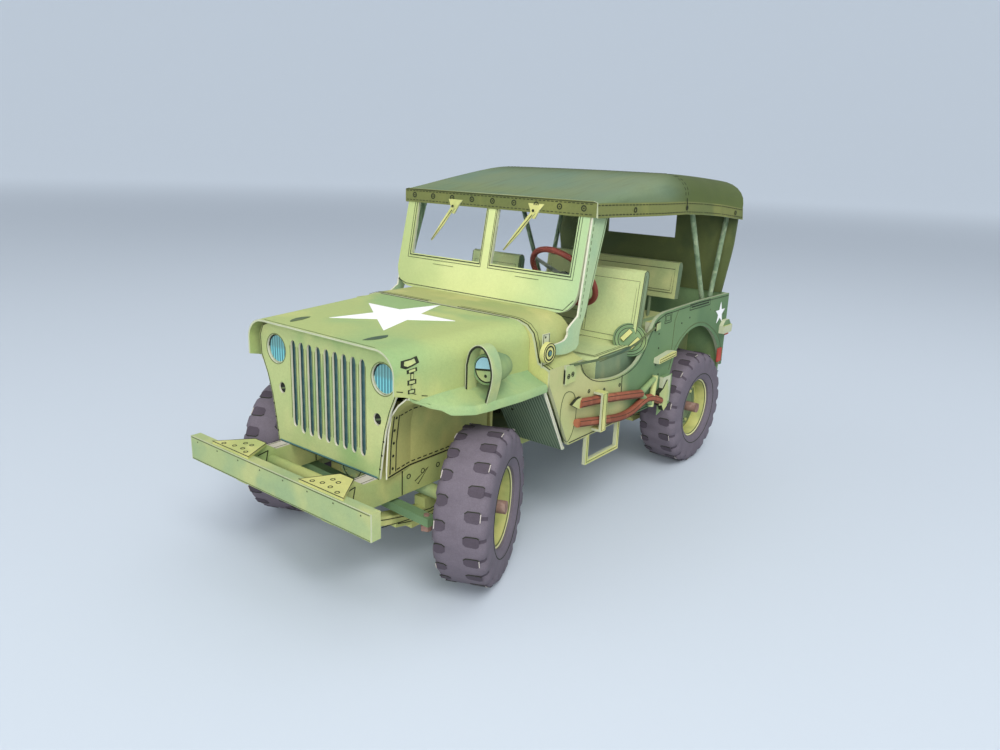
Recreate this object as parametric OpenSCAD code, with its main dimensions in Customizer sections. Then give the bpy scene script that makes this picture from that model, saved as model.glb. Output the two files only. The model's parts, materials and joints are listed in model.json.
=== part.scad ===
// Card model of an open army 4x4 car with its canvas top up, at about 1:25.
// The front points to -Y, the car's left side to +X and the roof to +Z. All sizes are millimetres.
// Lengths along the car are counted from the middle of the front wheels, before the whole car is
// moved to put its middle over the origin. What lies behind the door opening moves with the wheelbase.

/* [Overall] */
// Distance between the front and the rear axle
wheelbase = 82.3; // [70:0.1:99]
// Width of the body over its two side panels
body_width = 53.8; // [46:0.1:65]
// Height of the body's side panels above the ground
body_top = 41.6; // [36:0.1:50]
// Height of the canvas top above the ground
roof_top = 71.6; // [62:0.1:86]
// Distance between the middles of the two rear tyres
rear_track = 47.6; // [44:0.1:57]

/* [Wheels] */
// Radius of the tyres over the tread
tyre_radius = 14; // [12:0.1:16.8]
// Width of the tyres
tyre_width = 9.7; // [8:0.1:11.6]
// Radius of the rims over their lip
rim_radius = 7.45; // [6.2:0.05:8.9]
// Radius of the rolled stub axles
stub_radius = 1.2; // [1:0.05:1.4]
// Radius of the two axle tubes
axle_tube = 1.3; // [1.05:0.05:1.35]
// Distance from the middle of the car to a kingpin
kingpin_x = 20; // [18.5:0.1:24]
// Angle the front wheels are turned to the left as the model stands
steer_rest = 23; // [0:1:25]

/* [Bonnet and grille] */
// Half width of the bonnet's flat top at its front edge
bonnet_front = 15; // [12.5:0.1:17]
// Half width of the bonnet's flat top at the scuttle
bonnet_rear = 17.8; // [15:0.1:19]
// Height of the bonnet's top at its front edge
bonnet_height = 43.9; // [42:0.1:46]
// Width of one slot in the grille
slot_width = 1.25; // [0.8:0.05:1.6]
// Radius of the headlamps
headlamp_radius = 2.9; // [2.2:0.05:3.4]

/* [Bumper and wings] */
// Width of the front bumper
bumper_width = 49.3; // [42:0.1:59]
// Height of the front bumper's face
bumper_height = 4.6; // [3.8:0.1:5.5]
// Height of the front wings' flat tops above the ground
wing_top = 33; // [31:0.1:34]

// Radius of the hole in the tow hook's eye
tow_eye_radius = 0.9; // [0.75:0.05:1.1]

/* [Windscreen] */
// Half width of the windscreen frame at its foot
screen_foot = 24.6; // [23:0.05:29]
// Half width of the windscreen frame at its head
screen_head = 24.1; // [22:0.05:28]
// Half width of the post between the two panes
screen_post = 1.55; // [1:0.05:2.4]

/* [Springs] */
// Half length of a front spring
front_spring = 19.5; // [16:0.1:21.5]
// Half length of a rear spring
rear_spring = 15; // [12.5:0.1:15]

/* [Card] */
// Thickness of the body panels
card = 0.8; // [0.6:0.05:1.1]
// Thickness of the canvas top
canvas = 0.8; // [0.6:0.05:1.1]

/* [Hidden] */
$fn = 48;
half = body_width / 2;
// Height where the scuttle's cheeks start to lean in
cheek = body_top - 5.2;
stretch = wheelbase - 82.3;
axle_y = -1;
rear_y = axle_y + wheelbase;
lift = tyre_radius - 14;
raise = roof_top - 71.6;
// Height of the windscreen along its own plane
screen_high = 23.1 + raise;
rim_up = body_top - 41.6;
nose = -26.2;
tail = 97.6 + stretch + tyre_width;
mid_y = -(nose + tail) / 2;
wheel_out = 4.4;
rear_x = rear_track / 2;

// A rear coordinate, moved with the wheelbase.
function back(y) = y + stretch;

// The whole car, moved to put its middle over the origin and its tyres on the ground.
module car() {
    translate([0, mid_y, lift]) children();
}

// A box between two corners.
module slab(x0, x1, y0, y1, z0, z1) {
    translate([x0, y0, z0]) cube([x1 - x0, y1 - y0, z1 - z0]);
}

// The same piece on both sides of the car.
module pair() {
    children();
    mirror([1, 0, 0]) children();
}

// A flat plate across X, drawn as [y, z] points.
module side_plate(points, x, t) {
    translate([x, 0, 0]) rotate([90, 0, 90]) linear_extrude(t) polygon(points);
}

// A flat plate across Y, drawn as [x, z] points.
module cross_plate(points, y, t) {
    translate([0, y + t, 0]) rotate([90, 0, 0]) linear_extrude(t) polygon(points);
}

// A flat plate lying down, drawn as [x, y] points.
module flat_plate(points, z, t) {
    translate([0, 0, z]) linear_extrude(t) polygon(points);
}

// A round bar from one point to another.
module bar(a, b, r) {
    d = b - a;
    flat = sqrt(d[0] * d[0] + d[1] * d[1]);
    translate(a) rotate([0, atan2(flat, d[2]), atan2(d[1], d[0])]) cylinder(r = r, h = norm(d));
}

// --- chassis ---

module rail() {
    side_plate([
        [nose + 2, 21.7], [-19.6, 21.7], [-17.5, 20.4], [8, 20.4], [12, 19.2], [back(96.4), 19.2],
        [back(96.4), 15.4], [nose + 2, 15.4]
    ], 10.4, 3);
}

module chassis_frame() {
    color("#8c9440") car() union() {
        pair() rail();
        bar([-11, -18.6, 18.4], [11, -18.6, 18.4], 1.1);
        slab(-11, 11, 33, 37, 15.4, 17.4);
        slab(-11, 11, back(58), back(61), 18, 19.2);
        slab(-16.5, 16.5, back(94), back(96.4), 15.4, 19.2);
    }
}

module front_bumper() {
    color("#98a04c") car() difference() {
        slab(-bumper_width / 2, bumper_width / 2, nose, nose + 2, 21.7 - bumper_height, 21.7);
        slab(-bumper_width / 2 + 0.8, -13.8, nose + 0.8, nose + 3, 22.5 - bumper_height, 20.9);
        slab(-9.8, 9.8, nose + 0.8, nose + 3, 22.5 - bumper_height, 20.9);
        slab(13.8, bumper_width / 2 - 0.8, nose + 0.8, nose + 3, 22.5 - bumper_height, 20.9);
    }
}

module bumper_gussets() {
    color("#a3a648") car() pair() {
        flat_plate([[7, nose + 0.4], [18, nose + 0.4], [13.6, -19.8], [10.2, -19.8]], 21.7, 0.5);
    }
}

module rear_bumperettes() {
    color("#7c8a3e") car() pair() {
        slab(12, 21.5, back(99.4), back(100.4), 15.6, 19);
        slab(12.6, 15.6, back(96.4), back(99.4), 16, 18.6);
    }
}

module tow_hook() {
    color("#5c5e3a") car() difference() {
        union() {
            slab(-2.6, 2.6, back(96.4), back(97.2), 15.8, 18.8);
            bar([0, back(97), 17.3], [0, back(99.2), 17.3], 0.8);
            translate([0, back(100), 16.7]) cylinder(r = 1.9, h = 1.2);
        }
        translate([0, back(100), 12]) cylinder(r = tow_eye_radius, h = 10);
    }
}

// One spring pack: a bowed main leaf, shorter leaves under it, a seat for the axle and two shackles.
module spring_pack(y, h) {
    side_plate([
        [y - h, 15], [y - h * 0.5, 12.2], [y - 3, 10.9], [y + 3, 10.9], [y + h * 0.5, 12.2],
        [y + h, 15], [y + h, 14.2], [y + h * 0.67, 12], [y + h * 0.67, 11.3], [y + h * 0.46, 10.4],
        [y + h * 0.46, 9.6], [y + 5, 8.8], [y + 5, 8], [y - 5, 8], [y - 5, 8.8], [y - h * 0.46, 9.6],
        [y - h * 0.46, 10.4], [y - h * 0.67, 11.3], [y - h * 0.67, 12], [y - h, 14.2]
    ], 10.6, 2.6);
    slab(10.6, 13.2, y - 1.6, y + 1.6, 10.5, 14 - axle_tube);
    slab(10.9, 12.9, y - h, y - h + 1.2, 14.3, 15.4);
    slab(10.9, 12.9, y + h - 1.2, y + h, 14.3, 15.4);
}

module leaf_springs() {
    color("#87903c") car() pair() {
        union() spring_pack(axle_y, front_spring);
        union() spring_pack(rear_y, rear_spring);
    }
}

// The housing of a final drive, set to the right of the middle.
module final_drive(y) {
    translate([-6.2, y, 14]) rotate([90, 0, 0]) translate([0, 0, -2.2]) cylinder(r = 3.3, h = 4.4);
}

module front_axle() {
    color("#7d8a3e") car() difference() {
        union() {
            bar([-17.3, axle_y, 14], [17.3, axle_y, 14], axle_tube);
            final_drive(axle_y);
            pair() slab(16.6, kingpin_x + 0.9, axle_y - 1, axle_y + 1, 11, 17);
        }
        pair() slab(17.5, kingpin_x + 2, axle_y - 2, axle_y + 2, 12.2, 15.8);
        pair() translate([kingpin_x, axle_y, 8]) cylinder(r = 0.6, h = 12);
    }
}

module rear_axle() {
    color("#7d8a3e") car() union() {
        bar([-rear_x - 4.6, rear_y, 14], [rear_x + 4.6, rear_y, 14], stub_radius);
        bar([-rear_x + 5.2, rear_y, 14], [rear_x - 5.2, rear_y, 14], axle_tube);
        final_drive(rear_y);
    }
}

module engine_and_gearbox() {
    color("#4a4f34") car() union() {
        slab(-6, 6, -6.5, 12, 18, 34);
        slab(-4.2, 4.2, 12, 31, 16.5, 20.4);
        slab(-8, 3.5, 31, 38.5, 17.4, 20.4);
    }
}

module skid_plate() {
    color("#7d8a3e") car() slab(-9.5, 9.5, 30.5, 39.5, 14.4, 15.4);
}

module drive_shafts() {
    color("#6a7238") car() {
        bar([-6.2, axle_y + 2.4, 14.6], [-6.2, 30.8, 18.6], 0.8);
        bar([-6.2, 38.7, 18.6], [-6.2, rear_y - 2.4, 14.6], 0.8);
    }
}

module exhaust() {
    color("#6b5a48") car() {
        bar([7.8, 6, 18.4], [7.8, 42, 18.4], 0.8);
        bar([7.8, 42, 18], [7.8, back(55), 18], 1.6);
    }
}

// --- steered axle ends and wheels ---

// What turns with a kingpin, drawn for wheels pointing straight ahead. side is 1 for the left.
module turned(side) {
    translate([side * kingpin_x, axle_y, 14]) rotate([0, 0, steer_rest]) scale([side, 1, 1]) children();
}

module knuckle() {
    difference() {
        union() {
            slab(-1.4, 1.6, -1.3, 1.3, -1.75, 1.75);
            slab(-1.4, 1.6, -2.4, 2.4, -1.75, -0.75);
            bar([1.4, 0, 0], [wheel_out + 4.6, 0, 0], stub_radius);
            bar([1.4, 0, 0], [2.2, 0, 0], 2);
        }
        translate([0, 0, -4]) cylinder(r = 0.6, h = 8);
    }
    cylinder(r = 0.55, h = 8, center = true);
}

module knuckle_arm() {
    flat_plate([[-1.4, -2.2], [0.6, -2.2], [-1.7, -9.6], [-2, -10.1], [-3.2, -10.1], [-3.5, -9.6]], -1.75, 1);
    translate([-2.6, -9.2, -1]) cylinder(r = 0.5, h = 2.1);
}

module knuckle_left() {
    color("#a3a043") car() turned(1) union() {
        knuckle();
        knuckle_arm();
    }
}

module knuckle_right() {
    color("#a3a043") car() turned(-1) union() {
        knuckle();
        knuckle_arm();
    }
}

// The eye positions of the tie rod: the ends of the two steering arms.
function arm_pin(side) = [
    side * kingpin_x - side * 2.6 * cos(steer_rest) + 9.2 * sin(steer_rest),
    axle_y - side * 2.6 * sin(steer_rest) - 9.2 * cos(steer_rest)
];

module tie_rod() {
    a = arm_pin(-1);
    b = arm_pin(1);
    long = norm(b - a);
    color("#5d7a45") car() translate([a[0], a[1], 13.25]) rotate([0, 0, atan2(b[1] - a[1], b[0] - a[0])]) {
        difference() {
            slab(-1.4, long + 1.3, -1, 1, 0.1, 1.6);
            translate([long, 0, -1]) cylinder(r = 0.55, h = 4);
            slab(-0.76, 1.2, -0.62, 0.62, -1, 4);
        }
    }
}

// A tyre about the X axis, with its outer face towards +X.
module tyre() {
    r = tyre_radius;
    w = tyre_width / 2;
    rotate([0, 90, 0]) rotate_extrude($fn = 96) polygon([
        [rim_radius, -w + 0.9], [rim_radius + 0.7, -w], [r - 1.4, -w], [r - 0.3, -w + 0.7], [r, -w + 1.6],
        [r, w - 1.6], [r - 0.3, w - 0.7], [r - 1.4, w], [rim_radius + 0.7, w], [rim_radius, w - 0.9]
    ]);
}

// A rim in its tyre: a barrel, a dished disc and a hub that turns on the stub axle.
module rim() {
    w = tyre_width / 2 - 1.3;
    rotate([0, 90, 0]) rotate_extrude($fn = 96) polygon([
        [stub_radius + 0.06, w - 1.9], [stub_radius + 0.06, w - 3.4], [2.6, w - 3.4], [3.2, w - 2.7],
        [5.2, w - 2.7], [6, w - 3.2], [rim_radius - 0.7, w - 3.4], [rim_radius - 0.7, -w],
        [rim_radius, -w], [rim_radius, w], [rim_radius - 0.7, w], [rim_radius - 0.9, w - 2.4],
        [6, w - 2.3], [5.2, w - 1.9], [3.2, w - 1.9], [2.6, w - 1.9]
    ]);
}

module tyre_front_left() {
    color("#4a3d42") car() turned(1) translate([wheel_out, 0, 0]) tyre();
}

module rim_front_left() {
    color("#a9a648") car() turned(1) translate([wheel_out, 0, 0]) rim();
}

module tyre_front_right() {
    color("#4a3d42") car() turned(-1) translate([wheel_out, 0, 0]) tyre();
}

module rim_front_right() {
    color("#a9a648") car() turned(-1) translate([wheel_out, 0, 0]) rim();
}

module tyre_rear_left() {
    color("#4a3d42") car() translate([rear_x, rear_y, 14]) tyre();
}

module rim_rear_left() {
    color("#a9a648") car() translate([rear_x, rear_y, 14]) rim();
}

module tyre_rear_right() {
    color("#4a3d42") car() mirror([1, 0, 0]) translate([rear_x, rear_y, 14]) tyre();
}

module rim_rear_right() {
    color("#a9a648") car() mirror([1, 0, 0]) translate([rear_x, rear_y, 14]) rim();
}

// --- front bodywork ---

module grille_panel() {
    color("#8f9a45") car() difference() {
        cross_plate([
            [-13.4, 20.4], [13.4, 20.4], [15.4, 29.5], [17.6, 36.4], [17.6, 42], [16.4, 43.1],
            [-16.4, 43.1], [-17.6, 42], [-17.6, 36.4], [-15.4, 29.5]
        ], -14.4, card);
        for (i = [-4:4]) {
            slab(i * 2.2 - slot_width / 2, i * 2.2 + slot_width / 2, -16, -12, 23.9, 40.7);
        }
        pair() bar([14, -16, 38.4], [14, -12, 38.4], headlamp_radius - 0.5);
    }
}

module radiator() {
    color("#2f5552") car() slab(-11, 11, -13.6, -11, 20.4, 41.6);
}

module headlamps() {
    color("#3f9aa0") car() pair() {
        bar([14, -15, 38.4], [14, -14.4, 38.4], headlamp_radius);
        bar([14, -14.4, 38.4], [14, -12.2, 38.4], headlamp_radius - 0.5);
    }
}

module marker_lamps() {
    color("#33391f") car() pair() bar([12.6, -14.9, 31.2], [12.6, -14.4, 31.2], 1.1);
}

// The bonnet's section at a given half width of the flat top, seen from the front.
module bonnet_section(w, top, low, shrink) {
    e = shrink;
    polygon([
        [-w - 4.4 + e, low], [-w - 4.4 + e, top - 3.6], [-w - 3.6 + e, top - 1.9], [-w - 1.9 + e, top - 0.7 - e / 3],
        [-w, top - e], [w, top - e], [w + 1.9 - e, top - 0.7 - e / 3], [w + 3.6 - e, top - 1.9],
        [w + 4.4 - e, top - 3.6], [w + 4.4 - e, low]
    ]);
}

module bonnet_form(shrink, more) {
    hull() {
        translate([0, -16.3 - more, 0]) rotate([90, 0, 0]) linear_extrude(0.1)
            bonnet_section(bonnet_front, bonnet_height, 20, shrink);
        translate([0, 15.6 + more, 0]) rotate([90, 0, 0]) linear_extrude(0.1)
            bonnet_section(bonnet_rear, bonnet_height + 0.9, 20, shrink);
    }
}

module bonnet() {
    color("#8b9a45") car() difference() {
        bonnet_form(0, 0);
        bonnet_form(card, 1);
        side_plate([[-20, 10], [-20, 36.8], [-16.3, 36.8], [-8, wing_top + card], [20, wing_top + card], [20, 10]], -40, 80);
    }
}

module inner_wings() {
    color("#a5a544") car() pair() {
        side_plate([
            [-13.6, 20.4], [-13.6, 33], [-8, wing_top], [14.8, wing_top], [14.8, 20.4]
        ], 12.6, card);
    }
}

module wings() {
    color("#84984a") car() pair() {
        difference() {
            union() {
                flat_plate([[13.4, -7.2], [19, -7.6], [23, -6.6], [25.7, -3.9], [26.3, 2], [half - 0.3, 15.6], [13.4, 15.6]], wing_top, card);
                side_plate([[-3.6, wing_top + card], [-3, wing_top - 1.2], [14.6, wing_top - 1.2], [14.8, wing_top + card]], 26.1 - card, 0.4);
            }
        }
    }
}

module wing_skirts() {
    color("#6f8440") car() pair() {
        translate([13.4, 0, 0]) side_plate([
            [14.8, wing_top], [15.7, wing_top], [23.6, 18.6], [22.7, 18.6]
        ], 0, 12.7);
    }
}

// The scuttle: a sheet bent over the driver's feet, with the two cheeks that meet the wings.
module scuttle_section(e, w, top) {
    polygon([
        [-w + e, 20], [-w + e, cheek], [-w + 2.5 + e, cheek + 1], [-w + 3.4 + e, top - 3.8],
        [-w + 5.3 + e / 2, top - 0.9 - e / 2], [-w + 8.3, top - e],
        [w - 8.3, top - e], [w - 5.3 - e / 2, top - 0.9 - e / 2],
        [w - 3.4 - e, top - 3.8], [w - 2.5 - e, cheek + 1], [w - e, cheek], [w - e, 20]
    ]);
}

module scuttle_form(e, more) {
    translate([0, 27.2 + more, 0]) rotate([90, 0, 0]) linear_extrude(11.6 + 2 * more)
        scuttle_section(e, half, bonnet_height + 1);
}
module scuttle() {
    color("#b0a948") car() union() {
        difference() {
            scuttle_form(0, 0);
            scuttle_form(card, 1);
            slab(-40, 40, 10, 40, 10, cheek);
        }
        difference() {
            cross_plate([
                [-13.4, 20.4], [13.4, 20.4], [13.4, wing_top], [half - card, wing_top], [half - card, cheek - 0.4],
                [half - 3.5, cheek + 0.9], [half - 4.4, bonnet_height - 3.2], [half - 6.2, bonnet_height - 0.6],
                [half - 8.4, bonnet_height], [8.4 - half, bonnet_height], [6.2 - half, bonnet_height - 0.6],
                [4.4 - half, bonnet_height - 3.2], [3.5 - half, cheek + 0.9], [card - half, cheek - 0.4],
                [-half + card, wing_top], [-13.4, wing_top]
            ], 15.7, card);
            bar(column_foot, column_head, 1);
        }
    }
}

module dashboard() {
    color("#7e8a40") car() difference() {
        cross_plate([
            [3.6 - half, 36], [half - 3.6, 36], [half - 3.6, cheek + 0.9], [half - 4.5, bonnet_height - 3.2],
            [half - 6.4, bonnet_height - 0.6], [half - 8.6, bonnet_height], [8.6 - half, bonnet_height],
            [6.4 - half, bonnet_height - 0.6], [4.5 - half, bonnet_height - 3.2], [3.6 - half, cheek + 0.9]
        ], 26.4, card);
        bar(column_foot, column_head, 1);
    }
}

// --- tub ---

module body_sides() {
    color("#a0a146") car() pair() {
        side_plate([
            [23.7, 19.6], [16, wing_top + 0.6], [16, cheek], [26.1, cheek], [26.5, 35],
            [28.2, 32.8], [31.4, 31.4],
            [42, 30.1], [back(48), 30.9], [back(51.5), 33], [back(54.4), 37.1], [back(57), body_top - 1.2],
            [back(60.6), body_top - 0.2], [back(66), body_top], [back(97.6), body_top], [back(97.6), 22.4],
            [back(96.4), 22.4], [back(95), 26], [back(92), 30], [back(87), 33.6], [back(82), 35.2],
            [back(77), 35.3], [back(72), 34], [back(68.4), 30.6], [back(66.4), 26], [back(65.4), 19.6]
        ], half - card, card);
    }
}

module floor_pan() {
    color("#6f7f3c") car() union() {
        difference() {
            union() {
                slab(-half + card, half - card, 24, back(64.6), 19.6, 20.4);
                slab(-12.4, 12.4, 16.5, 24, 19.6, 20.4);
                slab(-9.6, 5.2, 16.5, 39.6, 20.4, 23.4);
            }
            slab(-8.8, 4.4, 14, 38.8, 18, 22.6);
        }
        slab(-16.2, 16.2, back(64.6), back(96.8), 19.6, 20.4);
    }
}

module rear_panel() {
    color("#8b9a45") car() slab(-half + card, half - card, back(96.8), back(97.6), 19.2, body_top);
}

module wheel_boxes() {
    color("#8f9a45") car() pair() {
        slab(16.2, 17, back(64.6), back(96.8), 20.4, 36.6);
        slab(17, half - card, back(64.6), back(96.8), 35.8, 36.6);
        slab(17, half - card, back(64.6), back(65.4), 20.4, 35.8);
    }
}

// --- windscreen and top ---

// A point on the windscreen's plane: across, and up from its foot.
module on_screen() {
    translate([0, 27.6, 43]) rotate([-11.2, 0, 0]) children();
}

module windscreen_frame() {
    high = screen_high;
    lean = atan2(screen_foot - screen_head, high);
    color("#8fae58") car() on_screen() difference() {
        union() {
            cross_plate([
                [-screen_foot, 1.6], [-screen_foot + 3, 1.4], [screen_foot - 3, 1.4], [screen_foot, 1.6],
                [screen_head, high], [-screen_head, high]
            ], -0.6, 1.2);
            pair() translate([screen_foot - 0.05, 0, 0]) rotate([0, -lean, 0]) side_plate([
                [1.3, -3.8], [1, -0.8], [1.9, 2.2], [3.2, 8.5], [5.2, high], [-0.6, high], [-0.6, 1.6],
                [-3.2, -0.9], [-3.1, -2.2], [-4.2, -3.4], [-7.8, -4.3], [-9.4, -4.2], [-9.2, -5.6],
                [-6.8, -6.1], [-3.1, -5.9], [-1.1, -5.4], [0.6, -4.8]
            ], 0, 0.5);
        }
        slab(screen_post, screen_head - 2.7, -3, 0.7, 9.2, high - 1.6);
        slab(-screen_head + 2.7, -screen_post, -3, 0.7, 9.2, high - 1.6);
    }
}

module windscreen_panes() {
    color("#cfe6ea55") car() on_screen() pair()
        slab(screen_post, screen_head - 2.7, -0.15, 0.15, 9.2, screen_high - 1.6);
}

module wipers() {
    high = screen_high;
    color("#7d8a40") car() on_screen() for (x = [-11.5, 10.5]) {
        slab(x, x + 1.6, -1.6, -0.6, high - 1.4, high - 0.2);
        translate([x + 0.8, -1.2, high - 1]) rotate([0, 40, 0]) slab(-0.3, 0.3, -0.3, 0.3, -9.5, 0);
    }
}

// The canvas top's outline across the car at three places along it, with an optional inset.
module top_section(y, w, eave, top, e) {
    translate([0, y + 0.05, 0]) rotate([90, 0, 0]) linear_extrude(0.1) polygon([
        [-w + e, eave - e * 40], [-w + e, eave + 1.8], [-w + 1.2 + e * 0.7, top - 2.4 - e * 0.6], [-w + 5.4 + e * 0.3, top - e],
        [w - 5.4 - e * 0.3, top - e], [w - 1.2 - e * 0.7, top - 2.4 - e * 0.6], [w - e, eave + 1.8], [w - e, eave - e * 40]
    ]);
}

module top_shell(e) {
    hull() {
        top_section(31.2 - (e > 0 ? 2 : 0), 25.8, 63.4 + raise, 66.6 + raise, e);
        top_section(back(62), 27.6, 63.4 + raise, roof_top, e);
    }
    hull() {
        top_section(back(62), 27.6, 63.4 + raise, roof_top, e);
        top_section(back(97.2) + (e > 0 ? -canvas : 0), 28, 61 + raise, 70 + raise, e);
    }
}

module canvas_top() {
    color("#6a7a34") car() union() {
        difference() {
            top_shell(0);
            top_shell(canvas);
        }
        difference() {
            cross_plate([
                [-half + 2, body_top], [half - 2, body_top], [27.2, 62 + raise], [27, 66 + raise], [22.5, 69.6 + raise],
                [-22.5, 69.6 + raise], [-27, 66 + raise], [-27.2, 62 + raise]
            ], back(96.4), canvas);
            slab(-10.5, 10.5, back(95), back(99), 54.5 + raise, 63 + raise);
        }
    }
}

module top_bows() {
    color("#7f9068") car() {
        pair() bar([25, back(86.6), body_top - 4], [25, back(73.2), 64.9 + raise], 0.7);
        pair() bar([25, back(88.6), body_top - 4], [25, back(95), 61.6 + raise], 0.7);
        pair() bar([25.2, back(73.6), 63.4 + raise], [20.6, back(72.6), 69.5 + raise], 0.7);
        bar([-21.4, back(72.6), 69.2 + raise], [21.4, back(72.6), 69.2 + raise], 0.7);
    }
}

// --- inside ---

// A seat seen from the side: cushion, raked back and the box it stands on.
module seat(x, w, y) {
    side_plate([
        [y, 30], [y + 2, 30], [y + 2, 20.4], [y + 14, 20.4], [y + 14, 30], [y + 17.6, 30], [y + 20.3, 50.6],
        [y + 18, 50.9], [y + 15.9, 34.5], [y, 34.5]
    ], x, w);
}

module front_seats() {
    color("#a9b45c") car() pair() seat(9.8, 14.8, 36);
}

module rear_bench() {
    color("#a9b45c") car() union() {
        side_plate([
            [back(66), 29], [back(68), 29], [back(68), 20.4], [back(78), 20.4], [back(78), 29], [back(80.4), 29],
            [back(81.8), 36.8], [back(79), 34], [back(66), 34]
        ], -16, 32);
        side_plate([[back(80), 41], [back(82.3), 40.8], [back(83.4), 49.6], [back(81.2), 50]], -19.8, 39.6);
        pair() side_plate([[back(80.1), 34.6], [back(81.3), 34.6], [back(82), 42], [back(80.8), 42]], 12, 1);
    }
}

// The steering column's line, from its box on the frame to the hub of the wheel.
column_foot = [9.8, 4, 21.5];
column_head = [14, 37.4, 49.4];
column_line = (column_head - column_foot) / norm(column_head - column_foot);

module steering_column() {
    color("#5e6f3c") car() union() {
        bar(column_foot, column_head, 0.7);
        bar(column_foot, column_foot + 25 * column_line, 0.9);
        bar(column_head - 0.1 * column_line, column_head + 1.6 * column_line, 0.5);
        slab(8.8, 12.4, 2, 6.4, 20.4, 24);
    }
}

// Turned so that +Z runs up the steering column.
module on_column() {
    flat = sqrt(column_line[0] * column_line[0] + column_line[1] * column_line[1]);
    translate(column_head) rotate([0, atan2(flat, column_line[2]), atan2(column_line[1], column_line[0])]) children();
}

module steering_wheel() {
    color("#8e4638") car() on_column() difference() {
        union() {
            rotate_extrude($fn = 96) translate([7.8, 0.9]) circle(r = 0.6, $fn = 24);
            for (a = [90, 210, 330]) {
                rotate([0, 0, a]) slab(0.6, 7.6, -0.4, 0.4, 0.55, 1.25);
            }
            translate([0, 0, 0.1]) cylinder(r = 1.3, h = 1.3);
        }
        translate([0, 0, -1]) cylinder(r = 0.55, h = 6);
    }
}

module control_levers() {
    color("#4c5236") car() {
        bar([0.6, 31, 23.56], [0.6, 36.5, 36], 0.4);
        bar([-4.6, 33, 23.5], [-4.6, 35, 31], 0.4);
        bar([-6.6, 34, 23.5], [-6.6, 36, 31], 0.4);
        bar([6.5, 27.48, 38], [6.5, 31, 35.5], 0.5);
    }
}

// --- outside fittings ---

module door_straps() {
    color("#6f7d48") car() pair() {
        bar([half + 0.4, 22, 36.4], [half + 0.4, 40, 35.2], 0.4);
        bar([half + 0.4, 40, 35.2], [half + 0.4, back(57.4), 38.6], 0.4);
    }
}

module blackout_lamp() {
    color("#8aa04a") car() {
        bar([24, 0.4, 38.9], [24, 6.2, 38.9], 2.3);
        bar([24, 3.6, 37], [24, 3.6, wing_top + card], 0.7);
        difference() {
            cross_plate([
                [21.2, wing_top + card], [21.2, 40], [21.8, 41.9], [22.9, 43.1], [24.2, 43.5], [25.5, 42.9],
                [26.6, 41.2], [27.1, 38.8], [26.8, 36.6], [26, wing_top + card]
            ], -1.2, 2.5);
            cross_plate([
                [21.7, wing_top], [21.7, 39.9], [22.2, 41.6], [23.1, 42.6], [24.2, 43], [25.2, 42.5],
                [26.2, 40.9], [26.6, 38.8], [26.3, 36.7], [25.5, wing_top]
            ], -2, 4);
        }
    }
}

module side_tools() {
    color("#96493a") car() {
        shovel_handle(0.75);
        axe_handle(0.7);
    }
}

module shovel_handle(r) {
    bar([half + 0.75, 25, 27.6], [half + 0.75, 50.5, 24.4], r);
}

module axe_handle(r) {
    bar([half + 0.75, 25, 24.2], [half + 0.75, 44, 21.2], r);
    bar([half + 0.75, 44, 21.2], [half + 0.75, 58, 21.4], r);
}

module side_fittings() {
    color("#9aa34a") car() {
        cross_plate([
            [half, 28.2], [half + 2, 28.2], [half + 2, 21.2], [half, 21.2],
            [half, 21.8], [half + 1.6, 21.8], [half + 1.6, 27.6], [half, 27.6]
        ], 32, 2);
        difference() {
            slab(half - 0.8, half, 30.6, 44, 13.2, 19.6);
            slab(half - 2, half + 2, 31.6, 43, 14.2, 18.9);
        }
        slab(half, half + 1, back(61.4), back(65.2), 19.6, 26);
        pair() slab(half, half + 1.4, back(58), back(66), 30.2, 31.2);
        pair() bar([screen_foot + 0.56, 16.6, 39.4], [screen_foot + 1.5, 16.6, 39.4], 2);
        pair() slab(half, half + 1.4, back(93.4), back(98.6), 31.4, 33.4);
        pair() slab(half, half + 0.8, 20.6, 24, 32.8, 35.9);
    }
}

module tail_lamps() {
    color("#9a3b34") car() pair() {
        slab(half - 2.8, half, back(97.6), back(100.2), 30.2, 32.4);
        slab(half, half + 0.4, back(93.8), back(96), 23.6, 27.2);
    }
}

module spare_wheel() {
    color("#4a3d42") car() translate([-9, back(97.6) + tyre_width / 2, 33]) rotate([0, 0, 90]) union() {
        tyre();
        rotate([0, 90, 0]) cylinder(r = rim_radius, h = 3, center = true);
        translate([-tyre_width / 2, 0, 0]) rotate([0, 90, 0]) cylinder(r = 1.6, h = 4);
    }
}

module fuel_can() {
    color("#76823c") car() {
        slab(8, 22, back(97.6), back(104.6), 24.4, 42);
        slab(7, 23, back(97.6), back(105.4), 23.6, 24.4);
        slab(7, 8, back(97.6), back(105.4), 24.4, 27.4);
        slab(22, 23, back(97.6), back(105.4), 24.4, 27.4);
    }
}

chassis_frame();
front_bumper();
bumper_gussets();
rear_bumperettes();
tow_hook();
leaf_springs();
front_axle();
rear_axle();
engine_and_gearbox();
skid_plate();
drive_shafts();
exhaust();
knuckle_left();
knuckle_right();
tie_rod();
tyre_front_left();
rim_front_left();
tyre_front_right();
rim_front_right();
tyre_rear_left();
rim_rear_left();
tyre_rear_right();
rim_rear_right();
grille_panel();
radiator();
headlamps();
marker_lamps();
bonnet();
inner_wings();
wings();
wing_skirts();
scuttle();
dashboard();
body_sides();
floor_pan();
rear_panel();
wheel_boxes();
windscreen_frame();
windscreen_panes();
wipers();
canvas_top();
top_bows();
front_seats();
rear_bench();
steering_column();
steering_wheel();
control_levers();
door_straps();
blackout_lamp();
side_tools();
side_fittings();
tail_lamps();
spare_wheel();
fuel_can();
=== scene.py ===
import json
import math

import bmesh
import bpy
from mathutils import Matrix, Vector
from mathutils.geometry import tessellate_polygon


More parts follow.
